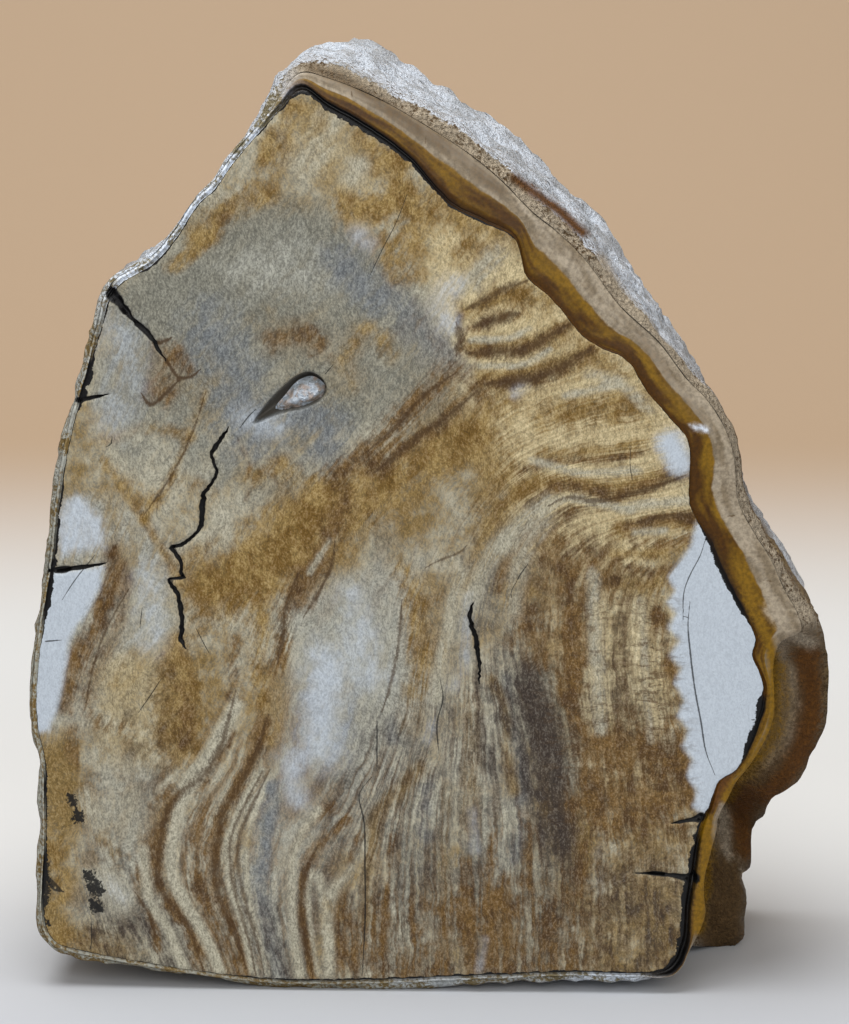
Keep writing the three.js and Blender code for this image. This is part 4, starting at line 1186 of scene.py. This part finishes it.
class Shading:
    """One material's nodes, with mixes and textures written as calls."""

    def __init__(self, name):
        self.material = bpy.data.materials.new(name)
        self.material.use_nodes = True
        self.tree = self.material.node_tree
        self.tree.nodes.clear()
        self.shader = self.node("ShaderNodeBsdfPrincipled")
        self.output = self.node("ShaderNodeOutputMaterial")
        self.put(self.output.inputs[0], self.result(self.shader))

    def node(self, kind, **settings):
        made = self.tree.nodes.new(kind)
        for name, value in settings.items():
            setattr(made, name, value)
        return made

    def result(self, node, name=0):
        return Value(self, node.outputs[name])

    def put(self, socket, value):
        if isinstance(value, Value):
            self.tree.links.new(value.socket, socket)
        elif socket.type == "RGBA":
            socket.default_value = (*value[:3], 1)
        else:
            socket.default_value = value

    def fill(self, node, values):
        """Sets or links a node's sockets, by their names or places."""
        for name, value in values.items():
            self.put(node.inputs[name], value)
        return node

    def filled(self, node, *values):
        """The first result of a node whose first sockets get those values."""
        return self.result(self.fill(node, dict(enumerate(values))))

    def math(self, operation, a, b):
        return self.filled(self.node("ShaderNodeMath", operation=operation), a, b)

    def rise(self, value, start, end):
        """0 at start, 1 at end and smooth between; end may be the lower."""
        node = self.node("ShaderNodeMapRange", interpolation_type="SMOOTHSTEP")
        if start < end:
            return self.filled(node, value, start, end, 0, 1)
        return self.filled(node, value, end, start, 1, 0)

    def mix(self, share, under, over, blend="MIX"):
        node = self.node("ShaderNodeMix", data_type="RGBA", blend_type=blend)
        self.fill(node, {MIX_SHARE: share, MIX_UNDER: under, MIX_OVER: over})
        return self.result(node, MIX_RESULT)

    def lit(self, colour, level):
        """The colour, made as many times as bright as the level says."""
        return self.mix(1, colour, self.joined(level, level, level), "MULTIPLY")

    def field(self, name):
        return self.result(self.node("ShaderNodeAttribute", attribute_name=name), "Fac")

    def place(self):
        """The place on the slice in millimetres."""
        return self.sized(self.result(self.node("ShaderNodeTexCoord"), "Object"), MM)

    def sized(self, vector, size):
        """The vector in steps of that size, which is one number or one for each axis."""
        sizes = size if isinstance(size, tuple) else (size, size, size)
        shares = tuple(1 / step for step in sizes)
        return self.filled(self.node("ShaderNodeVectorMath", operation="MULTIPLY"), vector, shares)

    def joined(self, x, y, z):
        return self.filled(self.node("ShaderNodeCombineXYZ"), x, y, z)

    def split(self, vector):
        node = self.fill(self.node("ShaderNodeSeparateXYZ"), {0: vector})
        return [self.result(node, axis) for axis in range(3)]

    def noise(self, vector, size, detail=2, roughness=0.5, distortion=0):
        """Noise around a half, with lumps of that size."""
        node = self.fill(self.node("ShaderNodeTexNoise"), {
            "Vector": self.sized(vector, size), "Scale": 1, "Detail": detail, "Roughness": roughness,
            "Distortion": distortion,
        })
        return self.result(node, "Fac")

    def cells(self, vector, size):
        """Distance from the nearest of many scattered points, about one to that size."""
        node = self.fill(self.node("ShaderNodeTexVoronoi"), {"Vector": self.sized(vector, size), "Scale": 1})
        return self.result(node, "Distance")

    def bump(self, height, distance, strength):
        node = self.fill(self.node("ShaderNodeBump"), {
            "Strength": strength, "Distance": distance, "Height": height,
        })
        self.put(self.shader.inputs["Normal"], self.result(node))

    def finish(self, colour, roughness, coat=0, specular=0.5):
        self.fill(self.shader, {
            "Base Color": colour, "Roughness": roughness, "Specular IOR Level": specular, "Coat Weight": coat,
            "Coat Roughness": COAT_ROUGHNESS,
        })
        return self.material


def felt(shading, place):
    """The wood's short fibres from 0 to 1, a third of a millimetre wide and mostly upright."""
    x, y, z = shading.split(place)
    sway = shading.noise(place, 9, detail=1)
    fibres = shading.joined(x + (sway - 0.5) * 4, y, z)
    fine = shading.noise(fibres, (0.23, 1, 0.34), roughness=0.6)
    long = shading.noise(fibres, (0.4, 1, 0.9), detail=1)
    return shading.rise(fine * 0.65 + long * 0.35, 0.3, 0.7)


def frayed(shading, name, breaking, reach):
    """Where a stain shows: none of it where its field is 0, all of it where that is 1, broken up between."""
    strength = shading.field(name)
    middle = strength * (1 - strength) * (4 * reach)
    return shading.rise(strength + (breaking - 0.5) * middle, 0, 1)


def wood_colour(shading, place, grain, colours):
    """The silicified wood's colour, with its growth bands and stains."""
    clouds = shading.noise(place, 15, detail=4, roughness=0.6)
    drift = shading.noise(place, (4, 4, 5), detail=3, roughness=0.6)
    mottle = shading.noise(place, (1.4, 1.4, 2), detail=3, roughness=0.65)
    x, _, z = shading.split(place)
    number = shading.field("ring_number") + (drift - 0.5) * 2.4
    rings = shading.joined(number, x * 0.065, z * 0.065)
    fine = shading.noise(rings, (0.85, 1, 1), roughness=0.6)
    broad = shading.noise(rings, (2.8, 1, 1))
    uneven = (mottle - 0.5) * 0.25 + grain * 0.1
    colour = shading.mix(shading.rise(clouds + uneven, 0.42, 0.7), colours.cream, colours.tan)
    breaking = shading.rise(drift * 0.4 + mottle * 0.25 + fine * 0.35, 0.34, 0.66)
    for name in ("grey", "bone", "straw"):
        colour = shading.mix(frayed(shading, name, breaking, 0.7), colour, getattr(colours, name))
    band = fine * 0.65 + broad * 0.35 + (grain - 0.5) * 0.07
    banded = shading.field("banded")
    colour = shading.mix(banded * shading.rise(band, 0.44, 0.62) * 0.75, colour, colours.brown)
    colour = shading.mix(banded * shading.rise(band, 0.58, 0.72) * 0.5, colour, colours.sepia)
    colour = shading.lit(colour, 1 + banded * shading.rise(band, 0.46, 0.34) * 0.3)
    patch = shading.rise(drift + uneven, 0.48, 0.72)
    colour = shading.mix(shading.field("mottled") * patch * 0.75, colour, colours.gold)
    colour = stained(shading, colour, place, breaking, colours)
    return fibrous(shading, colour, grain, colours)


def stained(shading, colour, place, breaking, colours):
    """Stains over the wood, one colour over the other, then the short level dashes on the right."""
    tone = shading.noise(place, (2.6, 2.6, 4), detail=3, roughness=0.65)
    golden = shading.mix(shading.rise(tone, 0.36, 0.62), colours.ochre, colours.gold)
    brownish = shading.mix(shading.rise(tone, 0.4, 0.66), colours.brown, colours.dark_brown)
    stains = (
        ("blue", colours.blue_grey, 0.6), ("gold", golden, 0.7), ("violet", colours.violet, 0.7),
        ("brown", brownish, 0.8), ("cream", colours.cream, 0.6), ("white", colours.opal_white, 0.4),
    )
    for name, tint, reach in stains:
        colour = shading.mix(frayed(shading, name, breaking, reach), colour, tint)
    dashes = shading.noise(place, (2.4, 1, 0.8), detail=3, roughness=0.65, distortion=0.5)
    dashed = shading.field("dashed")
    colour = shading.mix(dashed * shading.rise(dashes, 0.52, 0.62) * 0.75, colour, colours.dark_brown)
    return shading.lit(colour, 1 + dashed * shading.rise(dashes, 0.46, 0.34) * 0.25)


def fibrous(shading, colour, grain, colours):
    """Pale and dark fibres, weaker in the white opal."""
    depth = 1 - shading.field("white") * 0.75
    colour = shading.mix(shading.rise(grain, 0.45, 1) * depth * 0.14, colour, colours.bone)
    return shading.lit(colour, 1 + (grain - 0.5) * depth * 0.9)


def lined(shading, colour, grain, place, colours):
    """Thin dark lines: ring bands with feathered edges, rust, hairlines, dendrites and the black seams."""
    ragged = shading.noise(place, 0.9, detail=3, roughness=0.7)
    blotch = shading.noise(place, 2)
    spots = shading.noise(place, 0.45, roughness=0.6)
    feather = grain - 0.5 + (blotch - 0.5) * 2
    black = colours.mineral_black
    lines = (
        ("ring_line", feather, 2.8, 0, 0.7, colours.sepia),
        ("rust_line", ragged * 1.4, 2, 0.9, 0.85, colours.sepia),
        ("hair_line", ragged * 1.2, 1.9, 1, 0.85, black),
        ("dendrite_line", (spots - 0.5) * 3, 1.2, 0.5, 0.95, black),
    )
    for name, push, outer, inner, strength, tint in lines:
        share = shading.rise(shading.field(name) + push, outer, inner) * strength
        colour = shading.mix(share, colour, tint)
    colour = shading.mix(shading.rise(shading.field("crack"), *CRACK_EDGE), colour, black)
    seam = shading.field("seam") + (ragged * 2.2 + blotch * 3 - 2.6)
    return shading.mix(shading.rise(seam, 1.1, 0.8), colour, black)


def polished_wood(colours):
    """The ground and polished face."""
    shading = Shading("polished_wood")
    place = shading.place()
    grain = felt(shading, place)
    colour = wood_colour(shading, place, grain, colours)
    colour = lined(shading, colour, grain, place, colours)
    colour = shading.mix(shading.rise(shading.field("hollow"), 0.2, 0.9), colour, colours.hollow_wall)
    shading.bump(grain, 0.05 * MM, 0.6)
    return shading.finish(colour, 0.34 + grain * 0.2, specular=0.25)


def sawn_back(colours):
    """The sawn back: the same wood, duller, with faint saw marks."""
    shading = Shading("sawn_back")
    place = shading.place()
    colour = wood_colour(shading, place, felt(shading, place), colours)
    colour = shading.mix(0.3, colour, colours.chalk)
    saw = shading.noise(place, (40, 1, 0.7))
    colour = shading.mix(shading.rise(saw, 0.45, 0.65) * 0.2, colour, colours.grey)
    shading.bump(saw, 0.15 * MM, 0.6)
    return shading.finish(colour, 0.72, specular=0.3)


def bark_side(colours):
    """The bark side's amber and cream bands, its broken rim and the chalky outside."""
    shading = Shading("bark_side")
    place = shading.place()
    row = shading.field("row")
    around = shading.field("around")
    clouds = shading.noise(place, 7, detail=4, roughness=0.6)
    grit = shading.rise(shading.noise(place, 0.7, detail=3, roughness=0.65), 0.3, 0.7)
    colour = banded_bark(shading, row, around, clouds, grit, colours)
    colour = rough_outside(shading, colour, row, around, place, clouds, grit, colours)
    soft = clouds * 0.75 + grit * 0.25
    marks = (
        ("umber", colours.umber), ("rust", colours.rust), ("cream", colours.bark_cream),
        ("pale", colours.chalk), ("honey", colours.honey),
    )
    for name, tint in marks:
        colour = shading.mix(frayed(shading, "bark_" + name, soft, 1), colour, tint)
    colour = shading.lit(colour, 0.75 + grit * 0.5)
    hair = shading.rise(shading.field("bark_hair") + grit, 1.7, 0.9)
    colour = shading.mix(hair * 0.8, colour, colours.umber)
    crack = shading.rise(shading.field("crack"), *CRACK_EDGE) * shading.rise(row, 4.5, 4)
    colour = shading.mix(crack, colour, colours.mineral_black)
    outside = shading.rise(row, 4, 5)
    crags = shading.noise(place, 3, detail=5, roughness=0.7)
    chips = shading.cells(place, (3.4, 2.2, 2.6))
    rough = grit * 0.6 + crags * 2.4 + chips * 0.7
    shading.bump(rough * outside + clouds * 0.2, 0.8 * MM, 0.9)
    return shading.finish(colour, outside * 0.5 + 0.3, specular=0.22)


def banded_bark(shading, row, around, clouds, grit, colours):
    """Black crevice (black mineral, and painted shade where the gap is deepest), honey-coloured amber, cream,
    then the grey-brown rim, or a thin rind on the left.
    """
    band = shading.joined(around, row, 0)
    layers = shading.noise(band, (11, 0.6, 1))
    streaks = shading.noise(band, (1.2, 6, 1), roughness=0.6)
    wobble = row + (clouds - 0.5) * 0.5
    amber = shading.mix(shading.rise(layers + (row - 2.6) * 0.3, 0.34, 0.68), colours.amber, colours.honey)
    greyed = shading.rise(layers * 0.75 + streaks * 0.25, 0.38, 0.58)
    cream = shading.mix(greyed, colours.bark_cream, colours.bark_grey)
    colour = shading.mix(shading.rise(wobble, 2.93, 3.05), amber, cream)
    rim = shading.mix(shading.rise(clouds + grit * 0.4, 0.42, 0.68), colours.umber, colours.bark_cream)
    colour = shading.mix(shading.rise(wobble, 3.8, 4.2), colour, rim)
    thin = shading.mix(shading.rise(clouds + grit * 0.2, 0.5, 0.7), colours.olive, colours.chalk)
    crust = shading.mix(shading.rise(clouds + grit * 0.3, 0.5, 0.75), colours.tan, colours.bone)
    thin = shading.mix(shading.field("chalky"), crust, thin)
    colour = shading.mix(shading.field("bark_width"), thin, colour)
    # Black in the crevice beside the wood: black mineral, and also painted shade where the gap is deepest.
    black = shading.rise(row, 2.3, 1.8) * shading.field("seam_there")
    return shading.mix(black, colour, colours.mineral_black)


def rough_outside(shading, colour, row, around, place, clouds, grit, colours):
    """Outside the rim, chalk with dark dashes or a brown crust."""
    _, y, _ = shading.split(place)
    dashes = shading.noise(shading.joined(around, y, 0), (3.4, 0.9, 1), detail=3, roughness=0.65)
    chalk = shading.mix(shading.rise(clouds, 0.42, 0.62), colours.chalk, colours.chalk_grey)
    chalk = shading.mix(shading.rise(grit, 0.72, 0.95) * 0.55, chalk, colours.umber)
    chalk = shading.mix(shading.rise(dashes, 0.6, 0.7) * 0.8, chalk, colours.mineral_black)
    crust = shading.mix(shading.rise(clouds + grit * 0.3, 0.5, 0.8), colours.tan, colours.umber)
    chalk = shading.mix(shading.field("chalky"), crust, chalk)
    return shading.mix(shading.rise(row + (grit - 0.5) * 0.8, 7.6, 8.1), colour, chalk)


def crystal_lining(colours):
    """Pale glassy crystals with a pinkish middle."""
    shading = Shading("crystal_lining")
    place = shading.place()
    grit = shading.noise(place, 0.4, detail=3)
    pink = shading.rise(shading.noise(place, 2.2), 0.45, 0.58)
    colour = shading.mix(pink, colours.opal_white, colours.crystal_pink)
    colour = shading.mix(shading.rise(grit, 0.58, 0.68) * 0.6, colour, colours.hollow_wall)
    shading.bump(grit, 0.2 * MM, 0.7)
    return shading.finish(colour, 0.22, coat=0.3)


def plain_paper(stage):
    """Matt paper, with painted shade that darkens the floor in front, warm where it rises behind, and clear to
    a camera that stands behind it.
    """
    shading = Shading("plain_paper")
    geometry = shading.node("ShaderNodeNewGeometry")
    _, y, z = shading.split(shading.result(geometry, "Position"))
    # Painted shade: the floor grows darker towards the front.
    colour = shading.mix(shading.rise(y, *FLOOR_SHADE), stage.floor_front_painted_shade, stage.floor)
    colour = shading.mix(shading.rise(z, *BACKDROP_SHADE), colour, stage.backdrop)
    sides = (
        shading.result(geometry, "Backfacing"), shading.result(shading.shader),
        shading.result(shading.node("ShaderNodeBsdfTransparent")),
    )
    shading.put(shading.output.inputs[0], shading.filled(shading.node("ShaderNodeMixShader"), *sides))
    return shading.finish(colour, 0.9, specular=0.1)


def colour_property(name, description, red, green, blue):
    return FloatVectorProperty(
        name=name, description=description, subtype="COLOR", size=3, min=0, max=1,
        default=srgb(red, green, blue),
    )


class SliceSizes(bpy.types.PropertyGroup):
    """How finely the slice is built."""

    face_spacing: FloatProperty(
        name="Face spacing", description="Distance between points of the polished face",
        default=0.64 * MM, min=0.4 * MM, max=3 * MM, unit="LENGTH", precision=5,
    )
    column_spacing: FloatProperty(
        name="Edge spacing", description="Distance between points along the wood's edge",
        default=0.9 * MM, min=0.5 * MM, max=4 * MM, unit="LENGTH", precision=5,
    )


class SliceColours(bpy.types.PropertyGroup):
    """Colours of the stone."""

    cream: colour_property("Cream", "Lightest wood", 180, 174, 152)
    tan: colour_property("Tan", "Plain wood", 138, 113, 64)
    bone: colour_property("Bone", "Pale grey wood", 168, 167, 154)
    straw: colour_property("Straw", "Light golden wood", 204, 186, 142)
    ochre: colour_property("Ochre", "Light golden stains", 158, 130, 74)
    gold: colour_property("Gold", "Golden stains", 120, 89, 30)
    brown: colour_property("Brown", "Brown growth bands", 118, 88, 42)
    dark_brown: colour_property("Dark brown", "Darker growth bands", 86, 60, 26)
    sepia: colour_property("Sepia", "Darkest growth bands", 70, 47, 19)
    grey: colour_property("Grey", "Grey wood", 132, 130, 116)
    blue_grey: colour_property("Blue grey", "Bluish opal", 120, 124, 125)
    violet: colour_property("Violet brown", "Dull violet zone", 66, 55, 46)
    opal_white: colour_property("Opal white", "White opal patches", 199, 208, 216)
    mineral_black: colour_property("Mineral black", "Seams and cracks", 16, 15, 15)
    rust: colour_property("Rust", "Rusty stains", 98, 61, 20)
    honey: colour_property("Honey", "Lit amber", 130, 96, 18)
    amber: colour_property("Amber", "Deep amber", 76, 46, 0)
    bark_cream: colour_property("Bark cream", "Cream band of the bark side", 170, 156, 134)
    bark_grey: colour_property("Bark grey", "Grey streaks of the bark side", 134, 119, 96)
    umber: colour_property("Umber", "Grey-brown rim", 96, 74, 46)
    olive: colour_property("Olive", "Thin rind on the left", 140, 130, 100)
    chalk: colour_property("Chalk", "Chalky outside", 222, 230, 240)
    chalk_grey: colour_property("Chalk grey", "Greyer chalk", 186, 190, 194)
    hollow_wall: colour_property("Hollow wall", "Walls of the hollow", 104, 100, 92)
    crystal_pink: colour_property("Crystal pink", "Middle of the crystals", 196, 180, 168)


class StageSettings(bpy.types.PropertyGroup):
    """Floor, backdrop and lights."""

    floor: colour_property("Floor", "Pale paper under the slice", 224, 226, 226)
    # Painted shade on the paper in front of the slice, darker than the floor under it.
    floor_front_painted_shade: colour_property("Floor front", "Paper in front of the slice", 178, 182, 192)
    backdrop: colour_property("Backdrop", "Warm paper behind the slice", 186, 162, 136)
    key_power: FloatProperty(
        name="Key light", description="Power of the light above", default=6.2, min=0, unit="POWER"
    )
    fill_power: FloatProperty(
        name="Fill light", description="Power of the light in front", default=7.4, min=0, unit="POWER"
    )
    sky: FloatProperty(name="Sky", description="Brightness of the light all round", default=0.35, min=0)


def link_object(name, data):
    made = bpy.data.objects.new(name, data)
    bpy.context.scene.collection.objects.link(made)
    return made


class SLICE_OT_camera(bpy.types.Operator):
    """Puts the camera where the photograph was taken from"""

    bl_idname = "wood_slice.camera"
    bl_label = "Camera"

    def execute(self, context):
        eye, _, _, forward = camera_axes()
        camera = link_object("camera", bpy.data.cameras.new("camera"))
        camera.data.sensor_fit = "AUTO"
        camera.data.sensor_width = SENSOR
        camera.data.lens = SENSOR * FOCAL_PIXELS / PHOTO_HEIGHT
        camera.data.clip_start = 0.01
        camera.location = Vector(eye) * MM
        camera.rotation_mode = "QUATERNION"
        camera.rotation_quaternion = Vector(forward).to_track_quat("-Z", "Y")
        context.scene.camera = camera
        return {"FINISHED"}


class SLICE_OT_stone(bpy.types.Operator):
    """Builds the slice with its polished face, bark side, rough outside and sawn back"""

    bl_idname = "wood_slice.stone"
    bl_label = "Stone"

    def execute(self, context):
        colours = context.scene.slice_colours
        materials = [polished_wood(colours), bark_side(colours), sawn_back(colours)]
        mesh = SliceMesh(context.scene.slice_sizes).make("polished_slice", materials)
        stone = link_object("polished_slice", mesh)
        mesh.polygons.foreach_set("use_smooth", [True] * len(mesh.polygons))
        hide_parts("opalized_wood_slice")
        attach(stone, "root")
        return {"FINISHED"}


class CrustPlate(FlatMesh):
    """The flat shape of the crust, which doesn't go round the hub."""

    def inside(self, points, margin):
        return depth_inside(points, np.array(self.points[:len(self.degrees)])) > margin


def crust_top(places, depth):
    """How far the crystals' tips lie below the face, at places so deep inside the crust's outline."""
    lumps = noise(places[:, 0] * 1.3, 3.5, places[:, 1] * 1.3)
    facets = np.abs(noise(places[:, 0] * 2.4, 9.5, places[:, 1] * 2.4))
    rough = CRUST_LUMP * (0.35 * lumps - 0.6 * facets + 0.3)
    top = CRUST_EDGE - CRUST_RISE * smooth_step(depth / CRUST_SHOULDER) + rough
    return np.clip(top, CRUST_TOP, CRUST_FLOOR - CRUST_THINNEST)


def crust_mesh():
    """The crystals in the hollow as one closed, lumpy crust."""
    curve = smooth_curve(np.asarray(CRUST) - [MIDDLE_X, 0], True, 4)
    outline = spread_evenly(curve, CRUST_SPACING, closed=True)
    centre = outline.mean(0)
    outline = centre + (outline - centre) * CRUST_SPREAD
    plate = CrustPlate(outline)
    plate.fill(CRUST_SPACING, CRUST_SPACING * 0.5)
    places, border, faces = plate.triangles()
    top = FACE_Y + crust_top(places, depth_inside(places, outline))
    base = centre + (places - centre) * CRUST_BASE_SHARE
    points = np.vstack([
        np.column_stack([places[:, 0], top, places[:, 1]]),
        np.column_stack([base[:, 0], np.full(len(base), FACE_Y + CRUST_FLOOR), base[:, 1]]),
    ])
    count = len(places)
    loops = [tuple(face) for face in faces]
    loops += [tuple(corner + count for corner in reversed(face)) for face in faces]
    at_border = {int(place): index for index, place in enumerate(border) if place >= 0}
    for place in range(len(outline)):
        a, b = at_border[place], at_border[(place + 1) % len(outline)]
        loops.append((b, a, a + count, b + count))
    mesh = bpy.data.meshes.new("crystal_lining")
    mesh.from_pydata((points * MM).tolist(), [], loops)
    mesh.update()
    return mesh


class SLICE_OT_crystals(bpy.types.Operator):
    """Builds the crust of pale crystals in the hollow"""

    bl_idname = "wood_slice.crystals"
    bl_label = "Crystals"

    def execute(self, context):
        mesh = crust_mesh()
        mesh.materials.append(crystal_lining(context.scene.slice_colours))
        crust = link_object("crystal_lining", mesh)
        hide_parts("hollow_crystal_crust")
        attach(crust, "root")
        return {"FINISHED"}


def sweep_mesh():
    """A sheet of paper that lies flat, then curves up behind."""
    bend = np.linspace(0, math.pi / 2, 24)
    profile = [(STAGE_FRONT, 0)]
    profile += [(SWEEP_START + SWEEP_RADIUS * math.sin(a), SWEEP_RADIUS * (1 - math.cos(a))) for a in bend]
    profile.append((SWEEP_START + SWEEP_RADIUS, STAGE_TOP))
    points = [(side * STAGE_HALF_WIDTH, y, z) for y, z in profile for side in (-1, 1)]
    faces = [(2 * i, 2 * i + 1, 2 * i + 3, 2 * i + 2) for i in range(len(profile) - 1)]
    mesh = bpy.data.meshes.new("paper_sweep")
    mesh.from_pydata(points, [], faces)
    mesh.polygons.foreach_set("use_smooth", [True] * len(faces))
    return mesh


def area_light(name, power, size, place):
    light = link_object(name, bpy.data.lights.new(name, "AREA"))
    light.data.energy = power
    light.data.shape = "DISK"
    light.data.size = size
    light.location = place
    light.rotation_mode = "QUATERNION"
    light.rotation_quaternion = (Vector(LIT_POINT) - Vector(place)).to_track_quat("-Z", "Y")


class SLICE_OT_stage(bpy.types.Operator):
    """Lays the paper sweep and sets up soft studio light"""

    bl_idname = "wood_slice.stage"
    bl_label = "Stage"

    def execute(self, context):
        stage = context.scene.slice_stage
        mesh = sweep_mesh()
        mesh.materials.append(plain_paper(stage))
        link_object("paper_sweep", mesh)
        area_light("key_light", stage.key_power, *KEY_LIGHT)
        area_light("fill_light", stage.fill_power, *FILL_LIGHT)
        world = bpy.data.worlds.new("soft_sky")
        world.use_nodes = True
        background = world.node_tree.nodes["Background"]
        background.inputs["Strength"].default_value = stage.sky
        background.inputs["Color"].default_value = (1, 1, 1, 1)
        context.scene.world = world
        context.scene.view_settings.view_transform = "Standard"
        return {"FINISHED"}


OPERATORS = (SLICE_OT_camera, SLICE_OT_stone, SLICE_OT_crystals, SLICE_OT_stage)
SETTINGS = {"slice_sizes": SliceSizes, "slice_colours": SliceColours, "slice_stage": StageSettings}


class SLICE_PT_panel(bpy.types.Panel):
    """Lists the steps that build the slice, and its settings"""

    bl_idname = "SLICE_PT_panel"
    bl_label = "Wood Slice"
    bl_space_type = "VIEW_3D"
    bl_region_type = "UI"
    bl_category = "Wood Slice"

    def draw(self, context):
        for operator in OPERATORS:
            self.layout.operator(operator.bl_idname)
        for name, settings in SETTINGS.items():
            box = self.layout.box()
            for prop in settings.__annotations__:
                box.prop(getattr(context.scene, name), prop)


CLASSES = (*SETTINGS.values(), *OPERATORS, SLICE_PT_panel)


def register():
    for made in CLASSES:
        bpy.utils.register_class(made)
    for name, settings in SETTINGS.items():
        setattr(bpy.types.Scene, name, PointerProperty(type=settings))


def unregister():
    for name in SETTINGS:
        delattr(bpy.types.Scene, name)
    for made in reversed(CLASSES):
        bpy.utils.unregister_class(made)


def main():
    register()
    bpy.ops.wood_slice.camera()
    bpy.ops.wood_slice.stone()
    bpy.ops.wood_slice.crystals()
    bpy.ops.wood_slice.stage()


if __name__ == "__main__":
    main()
